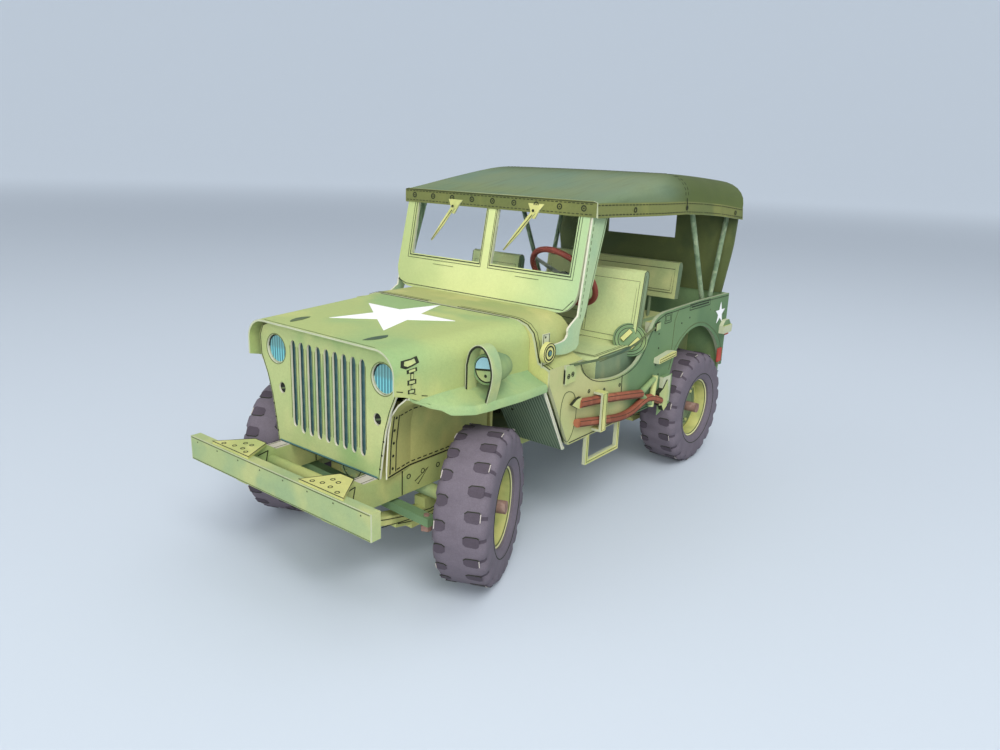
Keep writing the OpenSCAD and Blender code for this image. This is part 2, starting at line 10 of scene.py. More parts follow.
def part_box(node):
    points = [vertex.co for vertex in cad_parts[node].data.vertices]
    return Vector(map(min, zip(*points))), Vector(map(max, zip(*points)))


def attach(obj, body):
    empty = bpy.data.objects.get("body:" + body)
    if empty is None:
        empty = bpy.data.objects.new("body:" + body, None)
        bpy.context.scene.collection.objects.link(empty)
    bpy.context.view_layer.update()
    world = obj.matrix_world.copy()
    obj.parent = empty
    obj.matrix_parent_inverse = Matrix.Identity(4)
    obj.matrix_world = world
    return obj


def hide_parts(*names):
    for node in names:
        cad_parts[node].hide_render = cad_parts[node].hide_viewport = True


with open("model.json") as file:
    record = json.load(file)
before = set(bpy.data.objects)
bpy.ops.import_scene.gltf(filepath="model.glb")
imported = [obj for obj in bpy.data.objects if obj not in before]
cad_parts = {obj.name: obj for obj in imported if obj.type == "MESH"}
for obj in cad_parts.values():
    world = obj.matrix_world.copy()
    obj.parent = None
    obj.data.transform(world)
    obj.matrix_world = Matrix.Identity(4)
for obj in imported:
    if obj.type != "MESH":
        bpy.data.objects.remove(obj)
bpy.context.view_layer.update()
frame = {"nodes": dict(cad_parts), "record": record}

bl_info = {
    "name": "Card 4x4 car",
    "version": (1, 0, 0),
    "blender": (4, 5, 0),
    "location": "3D View > Sidebar > Card car",
    "description": "Printed card model of an open army 4x4 car with its canvas top up",
    "category": "Object",
}

# ---------------------------------------------------------------- places

MM = 0.001
NOSE = -26.2
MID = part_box("front_bumper")[0][1] / MM - NOSE
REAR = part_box("rear_panel")[1][1] / MM - MID
REAR_AXLE = (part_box("tyre_rear_left")[0][1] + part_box("tyre_rear_left")[1][1]) / 2 / MM - MID
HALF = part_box("body_sides")[1][0] / MM
RAKE = math.radians(11.2)
SCREEN_FOOT_Y = 27.6
SCREEN_FOOT_Z = 43
# How far print stands off its card, and how far it is sunk into it.
INK_RISE = 0.05
INK_SINK = 0.03
# Faces that meet at more than this angle keep a sharp edge.
SHARP = math.radians(38)
# The car's directions.
FORWARD, LEFT, UP = (0, -1, 0), (1, 0, 0), (0, 0, 1)


def at(x, y, z):
    """A point in metres from millimetres counted from the middle of the front wheels."""
    return Vector((x * MM, (y + MID) * MM, z * MM))


def on_screen(x, out, up):
    """A point on the windscreen: across, out of its plane to the rear, and up from its foot."""
    y = SCREEN_FOOT_Y + out * math.cos(RAKE) + up * math.sin(RAKE)
    z = SCREEN_FOOT_Z - out * math.sin(RAKE) + up * math.cos(RAKE)
    return at(x, y, z)


def shift(x, y=0, z=0):
    """A step given in millimetres."""
    return Vector((x * MM, y * MM, z * MM))


def side_on(x, path):
    """An outline of (along, height) pairs, placed x to the left."""
    return [at(x, a, b) for a, b in path]


def head_on(y, path):
    """An outline of (across, height) pairs, placed y along the car."""
    return [at(a, y, b) for a, b in path]


def circle(centre, normal, r, sides):
    """Points on a circle of radius r millimetres."""
    side = Vector(normal).normalized().orthogonal().normalized()
    other = Vector(normal).normalized().cross(side)
    turns = (math.tau * k / sides for k in range(sides))
    return [centre + (side * math.cos(a) + other * math.sin(a)) * r * MM for a in turns]


def linear(r, g, b):
    """A colour given as 0 to 255 display values, as linear light."""
    def one(c):
        c /= 255
        return c / 12.92 if c <= 0.04045 else ((c + 0.055) / 1.055) ** 2.4
    return (one(r), one(g), one(b))


def smooth(points, steps=5, closed=False):
    """Points on a smooth curve through the given ones."""
    out = []
    n = len(points)
    for i in range(n if closed else n - 1):
        p1, p2 = points[i], points[(i + 1) % n]
        p0 = points[i - 1] if closed or i > 0 else p1
        p3 = points[(i + 2) % n] if closed or i + 2 < n else p2
        for k in range(steps):
            t = k / steps
            out.append(tuple(
                0.5 * (2 * b + (c - a) * t + (2 * a - 5 * b + 4 * c - d) * t * t + (3 * b - a - 3 * c + d) * t ** 3)
                for a, b, c, d in zip(p0, p1, p2, p3)))
    if not closed:
        out.append(tuple(points[-1]))
    return out


def arc(cx, cy, r, a0, a1, steps=8, ry=None):
    """Points on an arc, in degrees."""
    ry = r if ry is None else ry
    turns = [math.radians(a0 + (a1 - a0) * k / steps) for k in range(steps + 1)]
    return [(cx + r * math.cos(t), cy + ry * math.sin(t)) for t in turns]


# ---------------------------------------------------------------- materials


class Wire:
    """A socket in a material that is used with ordinary operators."""

    def __init__(self, paint, socket):
        self.paint = paint
        self.socket = socket

    def math(self, kind, *others):
        return self.paint.node("ShaderNodeMath", {"operation": kind},
            {i: v for i, v in enumerate((self,) + others)})

    def __add__(self, other):
        return self.math("ADD", other)

    __radd__ = __add__

    def __sub__(self, other):
        return self.math("SUBTRACT", other)

    def __rsub__(self, other):
        return self.paint.node("ShaderNodeMath", {"operation": "SUBTRACT"}, {0: other, 1: self})

    def __mul__(self, other):
        return self.math("MULTIPLY", other)

    __rmul__ = __mul__

    def size(self):
        return self.math("ABSOLUTE")

    def band(self, low, high):
        """0 below low, 1 above high and smooth in between."""
        return self.paint.node(
            "ShaderNodeMapRange", {"interpolation_type": "SMOOTHSTEP"}, {0: self, 1: low, 2: high, 3: 0.0, 4: 1.0})


class Paint:
    """A material made of procedural nodes."""

    def __init__(self, name):
        self.material = bpy.data.materials.new(name)
        self.material.use_nodes = True
        self.tree = self.material.node_tree
        self.shader = self.tree.nodes["Principled BSDF"]
        self.shader.inputs["Specular IOR Level"].default_value = 0.25

    def node(self, kind, settings=None, inputs=None, output=0):
        """Adds a node, sets it up and returns one of its outputs."""
        node = self.tree.nodes.new(kind)
        for key, value in (settings or {}).items():
            setattr(node, key, value)
        for key, value in (inputs or {}).items():
            if isinstance(value, Wire):
                self.tree.links.new(value.socket, node.inputs[key])
            else:
                node.inputs[key].default_value = value
        return Wire(self, node.outputs[output])

    def place(self):
        return self.node("ShaderNodeTexCoord", output="Object")

    def facing(self, axis):
        """How far the surface faces along an axis, from 0 to 1."""
        normal = self.node("ShaderNodeTexCoord", output="Normal")
        return self.node("ShaderNodeVectorMath", {"operation": "DOT_PRODUCT"}, {0: normal, 1: axis}, "Value").size()

    def noise(self, scale, detail=2.0, stretch=None, rough=0.55):
        place = self.place()
        if stretch:
            place = self.node("ShaderNodeVectorMath", {"operation": "MULTIPLY"}, {0: place, 1: stretch})
        return self.node("ShaderNodeTexNoise", {}, {"Vector": place, "Scale": scale, "Detail": detail,
            "Roughness": rough})

    def mix(self, share, first, second, blend="MIX"):
        def colour(value):
            return value if isinstance(value, Wire) else (*value[:3], 1.0)
        return self.node(
            "ShaderNodeMix", {"data_type": "RGBA", "blend_type": blend},
            {0: share, 6: colour(first), 7: colour(second)}, 2)

    def axis(self, index):
        return self.node("ShaderNodeSeparateXYZ", {}, {0: self.place()}, index)

    def from_line(self, point, along):
        """Distance from a line, in millimetres."""
        arm = self.node("ShaderNodeVectorMath", {"operation": "SUBTRACT"}, {0: self.place(), 1: point})
        cross = self.node("ShaderNodeVectorMath", {"operation": "CROSS_PRODUCT"}, {0: arm, 1: along})
        return self.node("ShaderNodeVectorMath", {"operation": "LENGTH"}, {0: cross}, "Value") * 1000.0

    def finish(self, colour, rough=0.72, grain=0.16, bump=0.25):
        """Print grain over a colour, a matt card surface and its fibre."""
        fine = self.noise(5200.0, 1.0)
        fibre = self.noise(1400.0, 3.0)
        shade = (fine - 0.5) * grain + (fibre - 0.5) * grain * 0.8 + 1.0
        tone = self.node("ShaderNodeCombineColor", {}, {0: shade, 1: shade, 2: shade})
        colour = self.mix(1.0, colour, tone, "MULTIPLY")
        self.tree.links.new(colour.socket, self.shader.inputs["Base Color"])
        rougher = fibre * 0.12 + (rough - 0.06)
        self.tree.links.new(rougher.socket, self.shader.inputs["Roughness"])
        height = fibre * 0.7 + fine * 0.3
        bumped = self.node("ShaderNodeBump", {}, {"Strength": bump, "Distance": 0.00004, "Height": height})
        self.tree.links.new(bumped.socket, self.shader.inputs["Normal"])
        return self.material


def card(name, main, cool, warm, patch=70.0, grain=0.24):
    """Printed card: a main tone sprayed over with a cooler and a warmer one."""
    paint = Paint(name)
    colour = paint.mix(paint.noise(patch, 2.0).band(0.42, 0.68), linear(*main), linear(*cool))
    colour = paint.mix(paint.noise(patch * 1.7, 2.0, (1.0, 1.3, 0.8)).band(0.5, 0.72) * 0.8, colour, linear(*warm))
    return paint.finish(colour, grain=grain)


def plain(name, main, vary=0.25, rough=0.72, grain=0.2):
    """One printed colour with soft light and dark patches."""
    paint = Paint(name)
    dark = tuple(c * (1 - vary) for c in linear(*main))
    light = tuple(min(1.0, c * (1 + vary)) for c in linear(*main))
    return paint.finish(paint.mix(paint.noise(160.0, 3.0), dark, light), rough=rough, grain=grain)


PAINTS = {}


def paints():
    """Every finish of the model, made once."""
    if PAINTS:
        return PAINTS
    PAINTS["olive"] = card("olive_card", (160, 172, 116), (134, 158, 116), (180, 182, 118))
    PAINTS["yellow"] = card("yellow_card", (190, 188, 118), (168, 176, 110), (206, 200, 132))
    PAINTS["green"] = card("green_card", (112, 138, 96), (90, 118, 84), (134, 152, 98))
    PAINTS["dark"] = card("dark_card", (84, 98, 66), (64, 84, 66), (104, 112, 70))
    PAINTS["bonnet"] = card("bonnet_card", (158, 170, 108), (136, 162, 108), (176, 180, 114), patch=44.0)
    PAINTS["bumper"] = card("bumper_card", (156, 168, 116), (138, 158, 116), (172, 176, 118), patch=90.0)
    PAINTS["scuttle"] = card("scuttle_card", (162, 166, 106), (148, 160, 102), (180, 178, 116))
    PAINTS["side"] = side_paint()
    PAINTS["seat"] = card("seat_card", (192, 202, 142), (176, 192, 136), (200, 204, 144))
    PAINTS["seat_side"] = card("seat_side_card", (118, 134, 102), (100, 122, 96), (138, 146, 108))
    PAINTS["screen_side"] = card("screen_side_card", (158, 178, 136), (142, 172, 138), (168, 182, 132))
    PAINTS["canvas"] = canvas_paint()
    PAINTS["valance"] = card("valance_card", (108, 113, 64), (96, 105, 60), (122, 125, 68))
    PAINTS["cut"] = plain("cut_edge", (200, 198, 176), 0.08)
    PAINTS["soft_cut"] = plain("soft_cut_edge", (176, 180, 148), 0.1)
    # bare card, also used as a painted glint on the tyre patches
    PAINTS["raw_and_glint"] = plain("bare_card_and_painted_glint", (186, 178, 168), 0.06)
    PAINTS["white"] = plain("white_print", (232, 230, 230), 0.03, grain=0.06)
    PAINTS["ink"] = plain("ink", (38, 42, 28), 0.3)
    PAINTS["soft_ink"] = plain("soft_ink", (84, 92, 58), 0.25)
    # black print, also used as painted shadow along the tops of the headlamp glasses
    PAINTS["black"] = plain("black_print_and_painted_shadow", (30, 32, 26), 0.3)
    PAINTS["tyre"] = plain("tyre_card", (100, 92, 100), 0.22, grain=0.32)
    PAINTS["lug"] = plain("tyre_lugs", (72, 64, 72), 0.3, grain=0.34)
    PAINTS["wood"] = card("wood_print", (138, 80, 58), (116, 64, 46), (158, 100, 72), patch=160.0)
    PAINTS["rim_red"] = plain("wheel_grip", (128, 62, 50), 0.25)
    PAINTS["stub"] = card("rolled_card", (134, 106, 94), (110, 82, 74), (154, 130, 118), patch=400.0)
    PAINTS["teal"] = plain("teal_print", (78, 116, 112), 0.25)
    # pale blue painted reflection of the sky, used on the blackout lamp
    PAINTS["sky_reflection"] = plain("painted_sky_reflection", (150, 190, 204), 0.12)
    PAINTS["red"] = plain("red_print", (168, 70, 58), 0.15)
    PAINTS["steel"] = plain("steel_print", (112, 118, 104), 0.25)
    PAINTS["film"] = film_paint()
    PAINTS["hatch"] = hatch_paint()
    PAINTS["lamp"] = lamp_paint()
    PAINTS["core"] = core_paint()
    return PAINTS


def side_paint():
    """The body sides: pale yellow under the doorway, running to dark green at the rear."""
    paint = Paint("side_card")
    along = paint.axis("Y") * 1000.0 - MID
    high = paint.axis("Z") * 1000.0
    fade = (along + high * 0.25 + paint.noise(90.0, 2.0) * 6.0 - 3.0).band(47.0, 55.0)
    front = paint.mix(paint.noise(80.0, 2.0).band(0.4, 0.7), linear(172, 172, 118), linear(156, 166, 110))
    rear = paint.mix(paint.noise(60.0, 2.0).band(0.35, 0.7), linear(102, 128, 88), linear(84, 112, 78))
    rear = paint.mix((1.0 - high.band(20.0, 30.0)) * 0.5, rear, linear(72, 98, 68))
    colour = paint.mix(fade, front, rear)
    edge = 1.0 - paint.facing(LEFT).band(0.25, 0.5)
    colour = paint.mix(edge * 0.6, colour, linear(176, 180, 150))
    return paint.finish(colour)


def canvas_paint():
    """The printed canvas: grey-green at the front, darker behind the seam, with fine streaks."""
    paint = Paint("canvas_card")
    along = paint.axis("Y") * 1000.0 - MID
    high = paint.axis("Z") * 1000.0
    front = paint.mix(paint.noise(46.0, 3.0, (1.0, 0.4, 1.0)).band(0.35, 0.7), linear(110, 122, 90),
        linear(94, 118, 98))
    rear = paint.mix(paint.noise(46.0, 3.0, (1.0, 0.4, 1.0)).band(0.35, 0.7), linear(80, 92, 50),
        linear(70, 82, 44))
    colour = paint.mix(along.band(52.0, 68.0), front, rear)
    edge = paint.noise(34.0, 2.0, (0.5, 1.4, 1.0)).band(0.5, 0.75) * 0.8
    colour = paint.mix(edge * (1.0 - along.band(50.0, 66.0) * 0.7), colour, linear(118, 126, 76))
    colour = paint.mix((1.0 - high.band(64.0, 68.5)) * 0.5, colour, linear(92, 104, 52))
    streaks = paint.noise(260.0, 3.0, (4.0, 0.35, 1.0)).band(0.45, 0.75)
    colour = paint.mix(streaks * 0.2, colour, linear(66, 76, 48))
    return paint.finish(colour, rough=0.8, grain=0.18, bump=0.4)


def hatch_paint():
    """The shaded backs of the wings: dark card with fine slanting pen strokes."""
    paint = Paint("hatched_card")
    across = paint.axis("X") * 1000.0
    high = paint.axis("Z") * 1000.0
    stroke = ((across * 9.0 + high * 1.1 + paint.noise(500.0, 2.0) * 2.4).math("SINE")).band(-0.1, 0.5)
    colour = paint.mix(stroke, linear(108, 126, 104), linear(70, 86, 70))
    colour = paint.mix(paint.noise(120.0, 2.0).band(0.45, 0.7) * 0.4, colour, linear(104, 120, 96))
    edge = 1.0 - paint.facing((0, 0.878, 0.479)).band(0.25, 0.5)
    return paint.finish(paint.mix(edge, colour, linear(196, 194, 176)))


def lamp_paint():
    """A headlamp's printed glass with its upright flutes, and painted shade over its upper half."""
    paint = Paint("lamp_card")
    flute = ((paint.axis("X") * 9000.0).math("SINE")).band(-0.1, 0.5)
    colour = paint.mix(flute, linear(118, 184, 188), linear(48, 108, 120))
    # painted shade: the upper half of the glass is darkened, standing for the shadow under the grille's edge
    upper = (paint.axis("Z") * 1000.0).band(38.1, 38.9)
    colour = paint.mix(upper * 0.5, colour, linear(92, 118, 110))
    return paint.finish(colour, rough=0.5)


def core_paint():
    """The radiator's core: teal slats behind the grille."""
    paint = Paint("radiator_core")
    slat = ((paint.axis("Z") * 2400.0).math("SINE")).band(-0.2, 0.4)
    colour = paint.mix(slat * 0.4, linear(62, 94, 98), linear(84, 112, 108))
    return paint.finish(colour)


def film_paint():
    """Clear film in the windscreen."""
    paint = Paint("clear_film")
    paint.shader.inputs["Transmission Weight"].default_value = 1.0
    paint.shader.inputs["IOR"].default_value = 1.05
    faint = paint.noise(300.0, 2.0) * 0.05 + 0.04
    paint.tree.links.new(faint.socket, paint.shader.inputs["Roughness"])
    tint = paint.mix(paint.noise(80.0, 2.0), (0.96, 0.98, 1.0), (0.99, 1.0, 1.0))
    paint.tree.links.new(tint.socket, paint.shader.inputs["Base Color"])
    return paint.material


def ring_paint(name, hub, along):
    """A rim's printed rings, light lip and dark well, about its own axle."""
    paint = Paint(name)
    radius = paint.from_line(hub, along)
    colour = paint.mix(paint.noise(220.0, 2.0).band(0.35, 0.7), linear(178, 176, 108), linear(142, 150, 88))
    well = (1.0 - radius.band(4.6, 5.8)) * 0.75
    colour = paint.mix(well, colour, linear(70, 100, 84))
    ring = (radius * 7.4).math("SINE").band(0.55, 0.9) * radius.band(2.8, 3.2)
    colour = paint.mix(ring * 0.85, colour, linear(58, 66, 34))
    colour = paint.mix(radius.band(7.0, 7.15) * (1.0 - radius.band(7.3, 7.42)), colour, linear(206, 204, 150))
    return paint.finish(colour)


# ---------------------------------------------------------------- shapes


class Form:
    """Closed solids gathered into one object. Points are in metres."""

    def __init__(self):
        self.points = []
        self.faces = []
        self.paint_of = []
        self.round = []

    def add(self, points, faces, paint=0, round_faces=False):
        start = len(self.points)
        self.points += [Vector(p) for p in points]
        for k, face in enumerate(faces):
            self.faces.append([start + i for i in face])
            self.paint_of.append(paint[k] if isinstance(paint, list) else paint)
            self.round.append(round_faces)

    def prism(self, outline, push, paint=0, rim=None):
        """A flat outline given a thickness."""
        n = len(outline)
        points = [Vector(p) for p in outline] + [Vector(p) + push for p in outline]
        faces = [list(range(n))[::-1], list(range(n, 2 * n))]
        faces += [[i, (i + 1) % n, n + (i + 1) % n, n + i] for i in range(n)]
        rim = paint if rim is None else rim
        self.add(points, faces, [paint, paint] + [rim] * n)

    def block(self, low, high, paint=0, rim=None):
        (x0, y0, z0), (x1, y1, z1) = low, high
        self.prism([at(x0, y0, z0), at(x1, y0, z0), at(x1, y1, z0), at(x0, y1, z0)],
            Vector((0, 0, (z1 - z0) * MM)), paint, rim)

    def sheet(self, rows, thick, paint=0, rim=None, round_faces=True):
        """A curved sheet through rows of points, thickened against its normals."""
        n, m = len(rows), len(rows[0])
        back = []
        for i in range(n):
            for j in range(m):
                u = Vector(rows[min(i + 1, n - 1)][j]) - Vector(rows[max(i - 1, 0)][j])
                v = Vector(rows[i][min(j + 1, m - 1)]) - Vector(rows[i][max(j - 1, 0)])
                back.append(Vector(rows[i][j]) - u.cross(v).normalized() * thick * MM)
        front = [Vector(p) for row in rows for p in row]
        k = n * m
        main = [[i * m + j, (i + 1) * m + j, (i + 1) * m + j + 1, i * m + j + 1] for i in range(n - 1)
            for j in range(m - 1)]
        inner = [[k + a for a in face[::-1]] for face in main]
        loop = [j for j in range(m)] + [i * m + m - 1 for i in range(1, n)]
        loop += [(n - 1) * m + j for j in range(m - 2, -1, -1)] + [i * m for i in range(n - 2, 0, -1)]
        edge = [[loop[a], loop[(a + 1) % len(loop)], k + loop[(a + 1) % len(loop)], k + loop[a]]
            for a in range(len(loop))]
        rim = paint if rim is None else rim
        start = len(self.points)
        self.points += front + back
        for face in main + inner:
            self.faces.append([start + a for a in face])
            self.paint_of.append(paint)
            self.round.append(round_faces)
        for face in edge:
            self.faces.append([start + a for a in face])
            self.paint_of.append(rim)
            self.round.append(False)

    def tube(self, path, r, sides=12, paint=0, closed=False, end_paint=None):
        """A round bar along a path. r is one radius or one for each point."""
        path = [Vector(p) for p in path]
        n = len(path)
        radii = r if isinstance(r, list) else [r] * n
        points = []
        side = None
        for i, p in enumerate(path):
            before = path[i - 1] if i or closed else p
            after = path[(i + 1) % n] if i + 1 < n or closed else p
            along = (after - before).normalized()
            if side is None:
                side = along.orthogonal().normalized()
            side = (side - along * side.dot(along)).normalized()
            other = along.cross(side)
            for k in range(sides):
                a = math.tau * k / sides
                points.append(p + (side * math.cos(a) + other * math.sin(a)) * radii[i] * MM)
        faces = []
        for i in range(n if closed else n - 1):
            for k in range(sides):
                a, b = i * sides, ((i + 1) % n) * sides
                faces.append([a + k, a + (k + 1) % sides, b + (k + 1) % sides, b + k])
        self.add(points, faces, paint, True)
        if not closed:
            start = len(self.points) - len(points)
            for ring in (list(range(sides))[::-1], [(n - 1) * sides + k for k in range(sides)]):
                self.faces.append([start + k for k in ring])
                self.paint_of.append(paint if end_paint is None else end_paint)
                self.round.append(False)

    def turn(self, profile, centre, along, sides=64, paint=0):
        """A closed profile of (along, radius) pairs turned about an axis."""
        along = Vector(along).normalized()
        side = along.orthogonal().normalized()
        other = along.cross(side)
        n = len(profile)
        points = []
        for k in range(sides):
            a = math.tau * k / sides
            out = side * math.cos(a) + other * math.sin(a)
            points += [Vector(centre) + along * p[0] * MM + out * p[1] * MM for p in profile]
        faces = []
        kinds = []
        for k in range(sides):
            a, b = k * n, ((k + 1) % sides) * n
            for i in range(n):
                j = (i + 1) % n
                faces.append([a + i, a + j, b + j, b + i])
                kinds.append(paint[i] if isinstance(paint, list) else paint)
        self.add(points, faces, kinds, True)

    def line(self, path, normal, width=0.22, paint=0, closed=False, rise=INK_RISE):
        """A printed line: a thin flat ribbon on a surface."""
        path = [Vector(p) for p in path]
        normal = Vector(normal).normalized()
        n = len(path)
        left, right = [], []
        for i, p in enumerate(path):
            before = path[i - 1] if i or closed else p
            after = path[(i + 1) % n] if i + 1 < n or closed else p
            side = (after - before).cross(normal).normalized() * width * MM / 2
            left.append(p + side)
            right.append(p - side)
        up = normal * rise * MM
        points = []
        for a, b in zip(left, right):
            points += [a - up * 0.6, b - up * 0.6, b + up, a + up]
        faces = []
        for i in range(n if closed else n - 1):
            a, b = 4 * i, 4 * ((i + 1) % n)
            faces += [[a + k, a + (k + 1) % 4, b + (k + 1) % 4, b + k] for k in range(4)]
        if not closed:
            faces += [[3, 2, 1, 0], [4 * n - 4, 4 * n - 3, 4 * n - 2, 4 * n - 1]]
        self.add(points, faces, paint)

    def ring(self, centre, normal, r, width=0.2, paint=0, sides=20):
        """A printed circle."""
        self.line(circle(Vector(centre), normal, r, sides), normal, width, paint, closed=True)

    def dot(self, centre, normal, r, paint=0, rise=INK_RISE, sides=12):
        """A printed spot, or a low round head."""
        normal = Vector(normal).normalized()
        outline = circle(Vector(centre) - normal * INK_SINK * MM, normal, r, sides)
        self.prism(outline, normal * (rise + INK_SINK) * MM, paint)

    def dots(self, start, end, count, normal, r=0.2, paint=0, rise=INK_RISE):
        for k in range(count):
            t = k / max(1, count - 1)
            self.dot(Vector(start).lerp(Vector(end), t), normal, r, paint, rise, 8)

    def stitches(self, path, normal, dash=0.7, gap=0.5, width=0.16, paint=0):
        """A row of short printed dashes along a path."""
        path = [Vector(p) for p in path]
        left = 0.0
        for a, b in zip(path, path[1:]):
            length = (b - a).length / MM
            t = left
            while t + dash <= length:
                self.line([a.lerp(b, t / length), a.lerp(b, (t + dash) / length)], normal, width, paint)
                t += dash + gap
            left = max(0.0, t - length)

    def plate(self, loops, push, paint=0, rim=None):
        """A flat plate with holes. The first loop is its outline."""
        rings = [[Vector(p) for p in loop] for loop in loops]
        flat = [p for ring in rings for p in ring]
        n = len(flat)
        faces = [list(three) for three in tessellate_polygon([[p / MM for p in ring] for ring in rings])]
        faces += [[a + n for a in face[::-1]] for face in faces]
        kinds = [paint] * len(faces)
        start = 0
        for ring in rings:
            m = len(ring)
            for i in range(m):
                a, b = start + i, start + (i + 1) % m
                faces.append([a, b, b + n, a + n])
                kinds.append(paint if rim is None else rim)
            start += m
        self.add(flat + [p + Vector(push) for p in flat], faces, kinds)

    def both(self, draw):
        """Draws something and its mirror image."""
        p0, f0 = len(self.points), len(self.faces)
        draw()
        p1, f1 = len(self.points), len(self.faces)
        self.points += [Vector((-p.x, p.y, p.z)) for p in self.points[p0:p1]]
        for i in range(f0, f1):
            self.faces.append([a + p1 - p0 for a in self.faces[i]][::-1])
            self.paint_of.append(self.paint_of[i])
            self.round.append(self.round[i])

    def make(self, name, body, materials, replaces=()):
        """Builds the object and hangs it on a body of the frame."""
        mesh = bpy.data.meshes.new(name)
        mesh.from_pydata([tuple(p) for p in self.points], [], self.faces)
        for material in materials:
            mesh.materials.append(paints()[material] if isinstance(material, str) else material)
        mesh.polygons.foreach_set("material_index", self.paint_of)
        mesh.polygons.foreach_set("use_smooth", self.round)
        mesh.update()
        work = bmesh.new()
        work.from_mesh(mesh)
        bmesh.ops.recalc_face_normals(work, faces=work.faces)
        work.to_mesh(mesh)
        work.free()
        if any(self.round):
            mesh.set_sharp_from_angle(angle=SHARP)
        piece = bpy.data.objects.new(name, mesh)
        bpy.context.scene.collection.objects.link(piece)
        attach(piece, body)
        if replaces:
            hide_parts(*replaces)
        return piece


def finish_node(name, material):
    """Gives a CAD node a finish."""
    node = frame["nodes"][name]
    node.data.materials.clear()
    node.data.materials.append(paints()[material] if isinstance(material, str) else material)


# ---------------------------------------------------------------- settings


class CARD_PG_car(bpy.types.PropertyGroup):
    """Sizes and counts that a user would change."""

    lug_count: bpy.props.IntProperty(name="Tyre lugs", description="Lugs on each side of a tyre",
        default=21, min=10, max=40)
    lug_depth: bpy.props.FloatProperty(
        name="Lug depth", description="How far the lugs stand out", default=0.00045, min=0.0001,
        max=0.001, unit="LENGTH")
    star_radius: bpy.props.FloatProperty(
        name="Star radius", description="Radius of the star on the bonnet", default=0.0123, min=0.008,
        max=0.014, unit="LENGTH")
    sheet_steps: bpy.props.IntProperty(name="Sheet steps", description="Steps along a curved sheet",
        default=16, min=6, max=60)


class CARD_PG_stage(bpy.types.PropertyGroup):
    """Floor, light and camera."""

    floor_colour: bpy.props.FloatVectorProperty(
        name="Floor", description="Colour of the floor", default=(0.5, 0.55, 0.6), size=3,
        subtype="COLOR", min=0, max=1)
    key_power: bpy.props.FloatProperty(name="Key light", description="Power of the main light", default=1.15,
        min=0, unit="POWER")
    lens: bpy.props.FloatProperty(name="Lens", description="Focal length", default=27.79, min=10,
        max=200, unit="CAMERA")


def setting():
    return bpy.context.scene.card_car


# ---------------------------------------------------------------- stage


# The floor is flat to FLOOR_FLAT and then curves up to a wall, all in metres.
FLOOR_FLAT = 1.8
FLOOR_CURVE = 1.4
WALL_TOP = 2.4
FLOOR_DROP = 0.0001
FLOOR_TURNS = 96
FAR_GLOW = 0.55
SKY_COLOUR = (0.86, 0.9, 1.0, 1)
SKY_STRENGTH = 0.4
# name, place, size, share of the key power, point it aims at
LIGHTS = (
    ("key", (0.42, -0.30, 0.62), 0.42, 3.4, (0, 0, 0.03)),
    ("fill", (-0.60, -0.45, 0.40), 0.8, 1.1, (0, 0, 0.02)),
    ("front", (0.30, -0.50, 0.20), 0.3, 1.7, (0, 0, 0.03)),
    ("top", (0.05, 0.25, 0.80), 0.8, 2.0, (0, 0, 0.02)))
CAMERA_PLACE = (103.8, -97.7, 74.0)
CAMERA_YAW, CAMERA_PITCH, CAMERA_ROLL = 37.91, 15.83, 2.1


